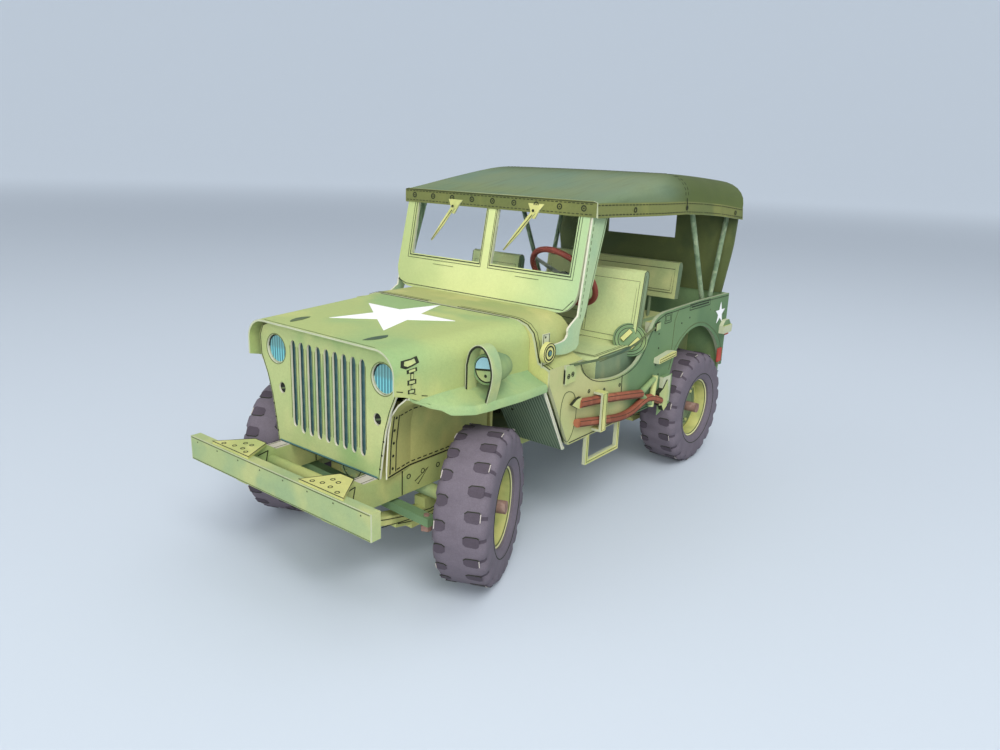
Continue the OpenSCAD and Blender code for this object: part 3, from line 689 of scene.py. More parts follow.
class CARD_OT_stage(bpy.types.Operator):
    """Pale floor, soft studio light and the camera"""

    bl_idname = "card_car.stage"
    bl_label = "Stage"

    def execute(self, context):
        stage = context.scene.card_stage
        mesh = bpy.data.meshes.new("floor")
        points, faces, turns = [(0, 0, -FLOOR_DROP)], [], FLOOR_TURNS
        rise = [math.pi * k / 24 for k in range(1, 12)]
        bowl = [
            (1.2, 0.0), (FLOOR_FLAT, 0.0),
            *[(FLOOR_FLAT + FLOOR_CURVE * math.sin(a), FLOOR_CURVE - FLOOR_CURVE * math.cos(a)) for a in rise],
            (FLOOR_FLAT + FLOOR_CURVE, WALL_TOP)]
        spokes = [math.tau * k / turns for k in range(turns)]
        for r, z in bowl:
            points += [(r * math.cos(a), r * math.sin(a), z - FLOOR_DROP) for a in spokes]
        for k in range(turns):
            j = (k + 1) % turns
            faces.append((0, 1 + k, 1 + j))
            for i in range(len(bowl) - 1):
                a = 1 + i * turns
                faces.append((a + k, a + turns + k, a + turns + j, a + j))
        mesh.from_pydata(points, [], faces)
        mesh.polygons.foreach_set("use_smooth", [True] * len(faces))
        floor = bpy.data.objects.new("floor", mesh)
        context.scene.collection.objects.link(floor)
        paint = Paint("floor")
        colour = tuple(stage.floor_colour)
        tone = paint.mix(paint.noise(6.0, 2.0) * 0.25, colour, tuple(c * 0.96 for c in colour))
        paint.tree.links.new(tone.socket, paint.shader.inputs["Base Color"])
        paint.shader.inputs["Roughness"].default_value = 0.85
        # the far floor glows a little, so the backdrop stays as pale as the floor near the car
        far = paint.node("ShaderNodeVectorMath", {"operation": "LENGTH"}, {0: paint.place()},
            "Value").band(0.35, 1.8)
        glow = paint.mix(far, (0.0, 0.0, 0.0), colour)
        paint.tree.links.new(glow.socket, paint.shader.inputs["Emission Color"])
        paint.shader.inputs["Emission Strength"].default_value = FAR_GLOW
        mesh.materials.append(paint.material)

        for name, place, size, share, aim in LIGHTS:
            data = bpy.data.lights.new(name, "AREA")
            data.size = size
            data.energy = stage.key_power * share
            light = bpy.data.objects.new(name, data)
            light.location = place
            light.rotation_euler = (Vector(aim) - Vector(place)).to_track_quat("-Z", "Y").to_euler()
            context.scene.collection.objects.link(light)

        world = bpy.data.worlds.new("studio")
        context.scene.world = world
        world.use_nodes = True
        back = world.node_tree.nodes["Background"]
        back.inputs["Color"].default_value = SKY_COLOUR
        back.inputs["Strength"].default_value = SKY_STRENGTH
        context.scene.view_settings.view_transform = "Standard"

        data = bpy.data.cameras.new("camera")
        data.sensor_width = 36
        data.lens = stage.lens
        data.clip_start = 0.005
        camera = bpy.data.objects.new("camera", data)
        yaw, pitch, roll = (math.radians(v) for v in (CAMERA_YAW, CAMERA_PITCH, CAMERA_ROLL))
        ahead = Vector((-math.sin(yaw) * math.cos(pitch), math.cos(yaw) * math.cos(pitch), -math.sin(pitch)))
        right = Vector((math.cos(yaw), math.sin(yaw), 0))
        up = right.cross(ahead)
        across = right * math.cos(roll) + up * math.sin(roll)
        upward = up * math.cos(roll) - right * math.sin(roll)
        turn = Matrix((across, upward, -ahead)).transposed().to_4x4()
        camera.matrix_world = Matrix.Translation(at(*CAMERA_PLACE)) @ turn
        context.scene.collection.objects.link(camera)
        context.scene.camera = camera
        return {"FINISHED"}


# ---------------------------------------------------------------- wheels


WHEELS = {
    "front_left": ("wheel_front_left", 1),
    "front_right": ("wheel_front_right", -1),
    "rear_left": ("wheel_rear_left", 1),
    "rear_right": ("wheel_rear_right", -1),
}


def wheel_axis(joint):
    """Where a wheel turns, and about what, from the frame's own joints."""
    for entry in frame["record"]["behaviour"]["joints"]:
        if entry["name"] == joint:
            return Vector(entry["pos_m"]), Vector(entry["axis"])
    raise RuntimeError("no joint " + joint)


def tyre_form(form, centre, along, lugs, depth):
    """A tyre with notched shoulders and printed gaps between its lugs. along points out of its outer face."""
    outer, inner, w = 14.0, 7.45, 4.85
    along = Vector(along).normalized()
    side = along.orthogonal().normalized()
    other = along.cross(side)

    def spot(a, x, r):
        return Vector(centre) + along * x * MM + (side * math.cos(a) + other * math.sin(a)) * r * MM

    per = 6
    n = lugs * per
    drop = depth / MM
    points = []
    for k in range(n):
        a = math.tau * k / n
        near = drop if k % per in (0, 1) else 0.0
        far = drop if (k + per // 2) % per in (0, 1) else 0.0
        ring = [
            (-w + 0.7, inner), (-w + 0.1, inner + 0.9), (-w, 9.4), (-w + 0.02 + far * 0.3, 11.4),
            (-w + 0.05 + far * 0.5, 12.4 - far * 0.2),
            (-w + 0.3 + far * 0.5, 13.2 - far * 0.7), (-w + 1.1 + far * 0.7, outer - 0.12 - far * 0.7),
            (-w + 2.0, outer),
            (w - 2.0, outer), (w - 1.1 - near * 0.7, outer - 0.12 - near * 0.7),
            (w - 0.3 - near * 0.5, 13.2 - near * 0.7),
            (w - 0.05 - near * 0.5, 12.4 - near * 0.2), (w - 0.02 - near * 0.3, 11.4), (w, 9.4),
            (w - 0.1, inner + 0.9), (w - 0.7, inner)]
        points += [spot(a, x, r) for x, r in ring]
    m = 16
    faces, kinds = [], []
    for k in range(n):
        a, b = k * m, ((k + 1) % n) * m
        for i in range(m):
            j = (i + 1) % m
            faces.append([a + i, a + j, b + j, b + i])
            gap = k % per == 0 and 8 <= i <= 10 or (k + per // 2) % per == 0 and 3 <= i <= 6
            kinds.append(1 if gap else 0)
    form.add(points, faces, kinds, True)
    step = math.tau / lugs
    for sign in (-1, 1):
        for k in range(lugs):
            a0 = step * (k + (1 / 12 if sign > 0 else 7 / 12))
            inner_x, outer_x = (1.0, 3.75) if sign > 0 else (2.1, 4.0)
            patch = [
                (inner_x, -0.55), (inner_x + 0.5, -0.95), (outer_x - 0.4, -1.0), (outer_x, -0.8),
                (outer_x, 0.6), (outer_x - 0.5, 0.95), (inner_x + 0.5, 0.85), (inner_x, 0.4)]
            spots = [(sign * x, a0 + t / outer) for x, t in patch]
            top = [spot(a, x, outer + 0.05) for x, a in spots]
            low = [spot(a, x, outer - 0.12) for x, a in spots]
            form.add(top + low, [list(range(8)), list(range(15, 7, -1))] + [[i, (i + 1) % 8, 8 + (i + 1) % 8, 8 + i]
                for i in range(8)], 1)
            out = spot(a0, 0, outer) - Vector(centre)
            form.line(top[:4], out, 0.16, 2)
            # painted highlight: every other patch gets a pale glint line along its outer end
            if k % 2:
                form.line([top[4], top[3]], out, 0.13, 3)
    for sign in (-1, 1):
        form.turn([(sign * (w - 0.02), 8.9), (sign * (w + 0.05), 9.0), (sign * (w - 0.02), 9.1)],
            centre, along, 64, 2)


class CARD_OT_tyres(bpy.types.Operator):
    """Four tyres with their bar lugs"""

    bl_idname = "card_car.tyres"
    bl_label = "Tyres"

    def execute(self, context):
        s = setting()
        for name, (body, sign) in WHEELS.items():
            centre, axis = wheel_axis("spin_" + name)
            form = Form()
            tyre_form(form, centre, axis * sign, s.lug_count, s.lug_depth)
            form.make("tyre_" + name + "_card", body, ["tyre", "lug", "ink", "raw_and_glint"], ["tyre_" + name])
        return {"FINISHED"}


def rim_form(form, centre, along, blank=False):
    """A dished rim with a rolled lip, wheel nuts and a hub."""
    w = 3.55
    hub = 0.0 if blank else 1.27
    profile = [
        (w - 1.9, hub), (w - 1.9, 2.3), (w - 2.1, 3.0), (w - 2.2, 5.2), (w - 2.7, 6.0), (w - 2.6, 6.75),
        (w - 0.4, 6.8), (w, 7.0),
        (w + 0.12, 7.4), (w - 0.1, 7.5), (-w, 7.5), (-w, 6.9), (w - 3.3, 6.8), (w - 3.5, 6.0), (w - 3.0, 5.2),
        (w - 2.9, 3.0), (w - 3.4, 2.4), (w - 3.4, hub)]
    form.turn(profile, centre, along, 72, 0)
    along = Vector(along).normalized()
    side = along.orthogonal().normalized()
    other = along.cross(side)
    for k in range(5):
        a = math.tau * k / 5 + 0.3
        out = side * math.cos(a) + other * math.sin(a)
        form.dot(Vector(centre) + out * 3.9 * MM + along * (w - 2.15) * MM, along, 0.42, 1, 0.35, 6)
    for k in range(8):
        a = math.tau * k / 8
        out = side * math.cos(a) + other * math.sin(a)
        form.dot(Vector(centre) + out * 5.75 * MM + along * (w - 2.62) * MM, along, 0.28, 1, 0.25, 8)


class CARD_OT_rims(bpy.types.Operator):
    """Four rims with printed rings, nuts and hubs"""

    bl_idname = "card_car.rims"
    bl_label = "Rims"

    def execute(self, context):
        for name, (body, sign) in WHEELS.items():
            centre, axis = wheel_axis("spin_" + name)
            form = Form()
            rim_form(form, centre, axis * sign)
            form.make("rim_" + name + "_card", body, [ring_paint("rim_print_" + name, centre, axis), "yellow"],
                ["rim_" + name])
        return {"FINISHED"}


class CARD_OT_running_gear(bpy.types.Operator):
    """Axles, knuckles, springs, track rod, shafts and exhaust"""

    bl_idname = "card_car.running_gear"
    bl_label = "Running gear"

    def execute(self, context):
        for node, paint in (
                ("front_axle", "olive"), ("rear_axle", "stub"), ("knuckle_left", "stub"),
                ("knuckle_right", "stub"), ("tie_rod", "green"), ("leaf_springs", "yellow"),
                ("engine_and_gearbox", "black"), ("skid_plate", "olive"), ("drive_shafts", "olive"),
                ("exhaust", "stub"), ("tow_hook", "black"), ("rear_bumperettes", "olive")):
            finish_node(node, paint)
        ends = Form()

        def leaves():
            for y, h in ((-1, 19.5), (REAR_AXLE, 15.0)):
                for z, reach in ((10.25, 1.0), (9.65, 0.67), (8.9, 0.46)):
                    for x in (13.2, 10.6):
                        out = 1 if x > 12 else -1
                        rise = 4.2 if reach == 1.0 else 1.4
                        path = [at(x, y + h * reach * t, z + rise * abs(t) ** 1.6)
                            for t in (-0.95, -0.6, -0.3, 0, 0.3, 0.6, 0.95)]
                        ends.line(path, (out, 0, 0), 0.16, 0)
        ends.both(leaves)
        for y in (-1, REAR_AXLE):
            for back in (-1, 1):
                centre = at(-6.2, y + back * 2.2, 14)
                ends.ring(centre, (0, back, 0), 2.7, 0.2, 0)
                for k in range(8):
                    a = math.tau * k / 8
                    ends.dot(centre + Vector((2.2 * math.cos(a), 0, 2.2 * math.sin(a))) * MM, (0, back, 0),
                        0.22, 1, 0.2, 6)
        ends.make("running_gear_print", "car", ["ink", "yellow"])
        return {"FINISHED"}


# ---------------------------------------------------------------- chassis and bumper


class CARD_OT_chassis(bpy.types.Operator):
    """Frame, its horns, the bumper and the gussets"""

    bl_idname = "card_car.chassis"
    bl_label = "Chassis"

    def execute(self, context):
        finish_node("chassis_frame", card("frame_card", (168, 174, 108), (144, 162, 104), (180, 180, 112)))
        finish_node("front_bumper", "bumper")
        finish_node("bumper_gussets", "yellow")
        form = Form()

        def horn():
            for x, out in ((13.4, 1), (10.4, -1)):
                form.ring(at(x, -21.4, 18.6), (out, 0, 0), 0.85, 0.2)
                form.line([at(x, -19.4, 20.6), at(x, -21.6, 20.2)], (out, 0, 0), 0.2)
                form.line([at(x, -19.4, 20.6), at(x, -20.2, 17.4)], (out, 0, 0), 0.2)
                form.line([at(x, -8.6, 15.5), at(x, -8.6, 20.3)], (out, 0, 0), 0.24)
                for y in (-7.0, -3.4, 0.6, 4.4):
                    form.ring(at(x, y, 18.6), (out, 0, 0), 0.42, 0.16)
                form.line([at(x, -5.4, 17.2), at(x, -2.0, 18.9), at(x, -4.6, 16.4)], (out, 0, 0), 0.18, closed=True)
                for k in range(20):
                    form.dot(at(x, 14 + k * 4.2, 17.4), (out, 0, 0), 0.2)
            for px, py in ((9.2, -24.8), (11.0, -24.2), (13.2, -24.4), (15.6, -25.0), (11.2, -22.2), (12.8, -22.4)):
                form.ring(at(px, py, 22.2), UP, 0.36, 0.15)
            form.line([at(7, -25.8, 22.2), at(18, -25.8, 22.2), at(13.6, -19.8, 22.2), at(10.2, -19.8, 22.2)],
                UP, 0.14, 0, True)
        form.both(horn)
        form.make("frame_print", "car", ["ink"])

        bumper = Form()

        def tops():
            bumper.block((10.5, -19.7, 20.42), (13.3, -14.5, 20.5), 0)
            for x in (10.9, 12.9):
                bumper.line([at(x, -19.4, 20.5), at(x, -14.8, 20.5)], UP, 0.12, 1)
        bumper.both(tops)
        bumper.line([at(-24.4, NOSE, 21.5), at(24.4, NOSE, 21.5)], FORWARD, 0.14, 1)
        bumper.line([at(-24.4, NOSE, 17.3), at(24.4, NOSE, 17.3)], FORWARD, 0.12, 1)
        bumper.block((-24.65, NOSE - 0.01, 21.64), (24.65, NOSE + 0.12, 21.72), 2)
        bumper.block((24.56, NOSE - 0.02, 17.1), (24.66, NOSE + 0.2, 21.72), 2)
        bumper.block((-24.66, NOSE - 0.02, 17.1), (-24.5, NOSE + 0.2, 21.72), 2)
        for k in range(8):
            bumper.dot(at(-22.4 + k * 6.4, NOSE, 20.9), FORWARD, 0.16, 1)
        # plank across the frame in front of the radiator
        bumper.block((-10.4, -20.2, 17.5), (10.4, -17.2, 18.1), 3)
        bumper.line([at(-10.2, -20.2, 18.1), at(10.2, -20.2, 18.1)], UP, 0.2, 2)
        bumper.line([at(-10.2, -17.4, 18.1), at(10.2, -17.4, 18.1)], UP, 0.14, 1)
        bumper.make("bumper_trim", "car", ["raw_and_glint", "soft_ink", "soft_cut", "green"])
        return {"FINISHED"}


# ---------------------------------------------------------------- nose


# The lamps in the grille: how far out from its middle line, and how high.
LAMP_OUT, LAMP_HIGH = 14.2, 38.4
MARKER_OUT, MARKER_HIGH = 12.8, 31.2


class CARD_OT_grille(bpy.types.Operator):
    """Grille panel, radiator, headlamps and marker lamps"""

    bl_idname = "card_car.grille"
    bl_label = "Grille"

    def execute(self, context):
        finish_node("radiator", "core")
        face, left = -14.4, 0.65

        def outline(path, y=face):
            return head_on(y, path)
        edge = [(13.9, 20.5), (14.5, 24.5), (15.4, 29.5), (16.6, 33.2), (18.3, 36.8), (18.5, 40.4),
            (17.6, 42.2), (15.6, 43.1)]
        edge = edge + [(-a, b) for a, b in edge[::-1]]
        slots = []
        for i in range(-4, 5):
            x = left + i * 2.3
            low = 25.4 if i == -4 else 24.6
            slots.append(outline(arc(x, 39.9, 0.66, 0, 180, 8, 0.95) + arc(x, low, 0.66, 180, 360, 8, 0.95)))
        lamps = [outline(arc(left + side * LAMP_OUT, LAMP_HIGH, 2.7, 0, 345, 23)) for side in (-1, 1)]
        markers = [outline(arc(left + side * MARKER_OUT, MARKER_HIGH, 0.95, 0, 330, 11, 1.1)) for side in (-1, 1)]
        form = Form()
        form.plate([outline(edge)] + slots + lamps + markers, shift(0, 0.38), 0, 1)
        form.line(outline([(a * 0.985, b) for a, b in edge]), FORWARD, 0.14, 2, True)
        for i in range(-4, 5):
            x = left + i * 2.3
            for off in (-0.84, 0.84):
                form.line(outline([(x + off, 26.0 if i == -4 else 25.0), (x + off, 39.8)]), FORWARD, 0.1, 3)
        for side in (-1, 1):
            form.ring(at(left + side * LAMP_OUT, face, LAMP_HIGH), FORWARD, 2.85, 0.12, 3, 36)
            form.dots(at(side * 14.0, face, 22.4), at(side * 14.9, face, 27.6), 3, FORWARD, 0.2, 2)
        form.line(outline([(-13.4, 20.7), (13.4, 20.7)]), FORWARD, 0.3, 4)
        form.make("grille_card", "car", [card("grille_print", (168, 178, 120), (136, 162, 104), (182, 186, 126),
            patch=60.0), "cut", "ink", "soft_ink", "teal"], ["grille_panel"])
        glass = Form()
        for side in (-1, 1):
            x = left + side * LAMP_OUT
            glass.dot(at(x, face + 0.75, LAMP_HIGH), FORWARD, 2.66, 0, 0.3, 40)
            # painted shadow: a black crescent along the top of each headlamp's glass, under the grille's edge
            glass.line([at(x + 2.6 * math.cos(t), face + 0.44, LAMP_HIGH + 2.6 * math.sin(t))
                for t in (math.radians(10 + 12 * k) for k in range(15))], FORWARD, 0.3, 1)
            glass.ring(at(x, face + 0.44, LAMP_HIGH), FORWARD, 2.56, 0.14, 2, 40)
            x = left + side * MARKER_OUT
            glass.dot(at(x, face + 0.6, MARKER_HIGH), FORWARD, 0.94, 1, 0.3, 24)
            glass.line([at(x - 0.7, face + 0.28, 30.9), at(x + 0.7, face + 0.28, 31.3)], FORWARD, 0.3, 3)
        glass.make("lamp_glass_card", "car", ["lamp", "black", "soft_cut", "dark"],
            ["headlamps", "marker_lamps"])
        return {"FINISHED"}


# The bonnet: its front edge, length, height there, rise to the rear and half widths of its flat top.
BONNET_NOSE = -16.3
BONNET_LENGTH = 31.9
BONNET_HEIGHT = 43.9
BONNET_RISE = 0.9
BONNET_FRONT, BONNET_REAR = 15, 17.8
BONNET_BEND = 4.4
STAR_WAIST = 0.385


def star_outline(radius):
    """The ten corners of a star."""
    corners = [(math.tau * k / 10, radius * (1.0 if k % 2 == 0 else STAR_WAIST)) for k in range(10)]
    return [(r * math.sin(a), r * math.cos(a)) for a, r in corners]


def bonnet_share(y):
    return (y - BONNET_NOSE) / BONNET_LENGTH


def bonnet_half(y):
    return BONNET_FRONT + (BONNET_REAR - BONNET_FRONT) * bonnet_share(y)


def bonnet_top(y):
    return BONNET_HEIGHT + BONNET_RISE * bonnet_share(y)


def bonnet_low(y):
    table = [(-16.3, 36.8), (-13.3, 36.1), (-11, 35.0), (-8.2, 34.0), (-4, 33.85), (20, 33.85)]
    for (a, p), (b, q) in zip(table, table[1:]):
        if y <= b:
            return p + (q - p) * (y - a) / (b - a)
    return table[-1][1]


def bonnet_row(y):
    """Points across the bonnet from its right lower edge to its left one."""
    w, top, low = bonnet_half(y), bonnet_top(y), bonnet_low(y)
    side = w + BONNET_BEND
    right = [(side, low), (side, (low + top - 4) / 2), *arc(w, top - 4, BONNET_BEND, 0, 90, 8, 4.0)]
    across = right + [(w * t, top) for t in (0.6, 0.2)]
    return head_on(y, across) + [at(-a, y, b) for a, b in across[::-1]]


class CARD_OT_bonnet(bpy.types.Operator):
    """Bonnet with its star, rest blocks, lines and side catches"""

    bl_idname = "card_car.bonnet"
    bl_label = "Bonnet"

    def execute(self, context):
        s = setting()
        form = Form()
        steps = [BONNET_NOSE + BONNET_LENGTH * k / s.sheet_steps for k in range(s.sheet_steps + 1)]
        form.sheet([bonnet_row(y) for y in steps], 0.35, 0, 1)
        form.make("bonnet_card", "car", ["bonnet", "soft_cut"], ["bonnet"])

        up = Vector((0, -BONNET_RISE, BONNET_LENGTH)).normalized()
        star = Form()
        shape = [(x, 2.9 + y) for x, y in star_outline(s.star_radius / MM)]
        star.prism([at(x, y, bonnet_top(y) - 0.02) for x, y in shape], up * 0.07 * MM, 0)
        star.make("bonnet_star", "car", ["white"])

        marks = Form()

        def skin(y, z):
            """A point on the bonnet's left side and the way it faces there."""
            w, top = bonnet_half(y), bonnet_top(y)
            turn = math.asin(max(0.0, min(1.0, (z - top + 4) / 4)))
            return at(w + 4.42 * math.cos(turn), y, z), Vector((math.cos(turn), 0, math.sin(turn)))

        def patch(outline, paint=0, rise=0.05):
            """A flat printed shape on the bonnet's left side."""
            spots = [skin(y, z) for y, z in outline]
            out = sum((n for _, n in spots), Vector()).normalized()
            marks.prism([q - out * 0.1 * MM for q, _ in spots], out * (rise + 0.1) * MM, paint)
            if paint == 0:
                middle = sum((q for q, _ in spots), Vector()) / len(spots)
                marks.prism([middle + (q - middle) * 0.62 - out * 0.1 * MM for q, _ in spots], out * 0.18 * MM, 1)

        def drawn():
            steps = (0.0, 0.1, 0.25, 0.5, 0.75, 0.9, 1.0)
            lens = [(9.6 + 0.7 * t - 0.5 * math.sin(math.pi * t), -14.0 + 5.1 * t) for t in steps]
            lens += [(9.6 + 0.7 * t + 1.3 * math.sin(math.pi * t) ** 0.6, -14.0 + 5.1 * t) for t in steps[-2:0:-1]]
            marks.prism([at(q, r, bonnet_top(r) - 0.06) for q, r in lens], up * 0.14 * MM, 3)
            low = [(-15.8, bonnet_low(-15.8) + 0.9), (-13, bonnet_low(-13) + 0.9), (-10.6, 35.9),
                (-8, 35.3), (15.0, 35.3)]
            for (a, b), (c, d) in zip(low, low[1:]):
                marks.stitches([skin(a, b)[0], skin(c, d)[0]], skin(a, b)[1], 1.3, 0.5, 0.13, 0)
            # the catch on the side: a hammer head over a stem and two plates
            patch([(-14.8, 41.3), (-14.3, 42.2), (-12.2, 42.3), (-10.9, 42.5), (-10.9, 41.5),
                (-12.2, 41.2), (-13.8, 40.9)])
            patch([(-13.7, 40.7), (-11.6, 40.9), (-11.6, 40.3), (-13.7, 40.1)])
            patch([(-13.0, 40.2), (-12.3, 40.2), (-12.3, 38.9), (-13.0, 38.9)])
            patch([(-13.6, 39.0), (-11.8, 39.0), (-11.8, 38.2), (-13.6, 38.2)])
            patch([(-12.9, 38.3), (-12.5, 38.3), (-12.5, 37.3), (-12.9, 37.3)])
            patch([(-13.5, 37.4), (-12.0, 37.4), (-12.0, 36.7), (-13.5, 36.7)])
        marks.both(drawn)
        marks.line([at(a, -15.9, bonnet_top(-15.9)) for a in (-14.6, 14.6)], up, 0.1, 2)
        marks.line([at(a, 15.35, bonnet_top(15.35)) for a in (-17.4, 17.4)], up, 0.2, 0)
        marks.make("bonnet_print", "car", ["ink", "olive", "soft_ink", "dark"])
        return {"FINISHED"}


# The outer edge of a front wing: along, across and height
WING_EDGE = [
    (-13.3, 19.5, 35.9), (-12.2, 19.4, 35.2), (-11.0, 19.6, 34.7), (-9.2, 20.6, 33.8), (-7.8, 21.8, 33.4),
    (-6.6, 22.9, 33.2), (-5.4, 24.1, 33.2),
    (-3.7, 25.5, 33.2), (-1.0, 26.0, 33.2), (2.2, 26.2, 33.2), (7.4, 26.6, 33.2), (11.5, 26.6, 33.2),
    (15.5, 26.6, 33.2)]


def inner_wing(y, z):
    """The inner wing's left face, which flares out towards the grille."""
    near = max(0.0, min(1.0, (-6.8 - y) / 6.6))
    table = [(20.4, 14.9), (22.3, 14.9), (28.7, 15.4), (32.1, 16.1), (34.2, 17.7), (35.8, 19.6)]
    rear = [(20.4, 13.46), (22.3, 13.46), (28.7, 13.46), (31.6, 14.2), (32.9, 16.6), (33.3, 19.3)]
    k = min(4, max(0, sum(1 for q in table if q[0] <= z) - 1))
    t = (z - table[k][0]) / (table[k + 1][0] - table[k][0])
    front_x = table[k][1] + (table[k + 1][1] - table[k][1]) * t
    rear_x = rear[k][1] + (rear[k + 1][1] - rear[k][1]) * t
    return rear_x + (front_x - rear_x) * near


class CARD_OT_wings(bpy.types.Operator):
    """Front wings, their inner panels and hatched skirts"""

    bl_idname = "card_car.wings"
    bl_label = "Wings"

    def execute(self, context):
        inner = card("inner_wing_card", (170, 170, 104), (150, 160, 100), (182, 178, 110))
        finish_node("inner_wings", inner)
        finish_node("wing_skirts", "hatch")
        form = Form()

        def inside(y, z):
            return bonnet_half(y) + 4.0, max(35.5, z + 0.35)

        def height(x, y):
            """The wing's top at a place on it."""
            edge = min(WING_EDGE, key=lambda e: abs(e[0] - y))
            end, top = inside(y, edge[2])
            t = max(0.0, min(1.0, (edge[1] - x) / (edge[1] - end + 1e-6)))
            return edge[2] + 0.35 + (top - edge[2] - 0.35) * t ** 1.5

        def wing():
            rows = []
            for y, x, z in WING_EDGE:
                end, top = inside(y, z)
                rows.append([at(x, y, z - (0.9 if y > -7 else 0.2)), at(x + 0.02, y, z), at(x - 0.2, y, z + 0.32)]
                            + [at(x + (end - x) * t, y, z + 0.35 + (top - z - 0.35) * t ** 1.5)
                                for t in (0.15, 0.35, 0.55, 0.75, 0.9, 1.0)])
            form.sheet(rows, -0.3, 0, 1)
        form.both(wing)
        form.make("wing_card", "car", [card("wing_print_card", (142, 164, 112), (122, 152, 108), (158, 172, 114)),
            "soft_cut"], ["wings"])

        flare = Form()

        def flared():
            rows = []
            for k in range(6):
                y = -13.6 + 7.0 * k / 5
                rows.append([at(inner_wing(y, z), y, z - (0 if z < 33 else (z - 33) * 0.9 * k / 5))
                    for z in (20.45, 22.3, 25.5, 28.7, 30.6, 32.1, 33.3, 34.2, 35.0, 35.7)])
            flare.sheet(rows, 0.3, 0, 1)
        flare.both(flared)
        flare.make("inner_wing_flare", "car", [inner, "cut"])

        marks = Form()

        def drawn():
            rim = [(x - 0.7, y + 0.4) for y, x, z in WING_EDGE[5:]]
            marks.line([at(a, b, height(a, b) + 0.04) for a, b in rim], UP, 0.12, 0)
            for k in range(4):
                marks.dot(at(24.8, -2.5 + k * 5.4, height(24.8, -2.5 + k * 5.4) + 0.03), UP, 0.2)
            out = (1, 0, -0.05)

            def upright(y, z0, z1, width, paint=0):
                marks.line([at(inner_wing(y, z) + 0.02, y, z) for z in (z0, (z0 + z1) / 2, z1)], out, width, paint)
            upright(-12.9, 21.2, 31.9, 0.2)
            upright(-11.2, 21.2, 31.6, 0.16)
            for k in range(5):
                z = 22.0 + 2.35 * k
                marks.dot(at(inner_wing(-12.1, z) + 0.02, -12.1, z), out, 0.26)
            for z in (21.4, 31.4):
                marks.stitches([at(inner_wing(y, z) + 0.03, y, z) for y in (-10.8, -6.8, 14)], out,
                    0.9, 0.6, 0.18, 0)
            marks.line([at(inner_wing(y, 20.8) + 0.03, y, 20.8) for y in (-13.4, -6.8, 14.6)], out, 0.24, 0)
        marks.both(drawn)
        marks.make("wing_print", "car", ["ink", "raw_and_glint"])
        skirt = Form()

        def hem():
            skirt.line([at(13.8, 23.75, 18.9), at(26.0, 23.75, 18.9)], (0, 0.87, 0.48), 0.3, 0)
            skirt.block((25.9, 22.9, 18.62), (26.12, 23.6, 18.9), 0)
            path = [at(26.12, 15.2, 32.8), at(26.12, 23.1, 18.9)]
            skirt.line(path, LEFT, 0.16, 0)
        skirt.both(hem)
        skirt.make("skirt_hem", "car", ["soft_cut"])
        return {"FINISHED"}


class CARD_OT_scuttle(bpy.types.Operator):
    """Scuttle, its cheeks and the dashboard"""

    bl_idname = "card_car.scuttle"
    bl_label = "Scuttle"

    def execute(self, context):
        finish_node("dashboard", "olive")
        form = Form()
        bend = [(26.9, 36.45), (24.5, 37.4), (24.1, 38.6), (23.5, 41.0), (22.9, 42.7), (21.4, 44.1), (19.4, 44.75),
            (17.4, 44.9), (12, 44.95), (4, 44.95)]

        def row(y):
            return head_on(y, bend) + [at(-a, y, b) for a, b in bend[::-1]]
        form.sheet([row(15.7 + 11.5 * k / 6) for k in range(7)], 0.4, 0, 1)
        bulk = [(13.4, 20.4), (13.4, 33), (26.5, 33), (26.5, 36.3), (24.2, 37.2), (23.2, 41.0), (22.4, 42.8),
            (21.0, 43.9), (18.6, 44.5)]
        bulk = bulk + [(-a, b) for a, b in bulk[::-1]]
        form.prism(head_on(15.75, bulk), shift(0, 0.7), 2)
        form.make("scuttle_card", "car", ["scuttle", "soft_cut", "yellow"], ["scuttle"])
        marks = Form()

        def drawn():
            seam = [(a + 0.02, b + 0.02) for a, b in bend]
            for y, width in ((15.95, 0.24), (16.9, 0.1)):
                for (a, b), (c, d) in zip(seam, seam[1:]):
                    marks.line([at(a, y, b), at(c, y, d)], (b - d, 0, a - c) if b - d > 0 else (0.3, 0, 1), width,
                        0 if y < 16 else 1)
            # base plate and rings of the windscreen's pivot
            marks.block((25.1, 15.5, 36.6), (25.3, 17.7, 43.0), 2, 3)
            x = 26.12
            out = LEFT
            marks.turn([(-0.8, 0.05), (-0.8, 2.0), (0, 2.0), (0.1, 1.9), (0.1, 0.05)],
                at(x, 16.6, 39.4), out, 32, 2)
            for r, width in ((1.85, 0.16), (1.3, 0.3), (0.55, 0.2)):
                marks.ring(at(x + 0.1, 16.6, 39.4), out, r, width, 0)
            marks.dot(at(x + 0.1, 16.6, 39.4), out, 0.4, 4, 0.2)
            marks.line([at(25.3, 15.7, 36.8), at(25.3, 17.5, 36.8), at(25.3, 17.5, 42.8), at(25.3, 15.7, 42.8)],
                out, 0.12, 0, True)
            for y, z in ((16.3, 42.3), (17.0, 36.9)):
                marks.dot(at(25.3, y, z), out, 0.22)
        marks.both(drawn)
        marks.make("scuttle_print", "car", ["ink", "soft_ink", "yellow", "soft_cut", "teal"])
        return {"FINISHED"}


# ---------------------------------------------------------------- windscreen


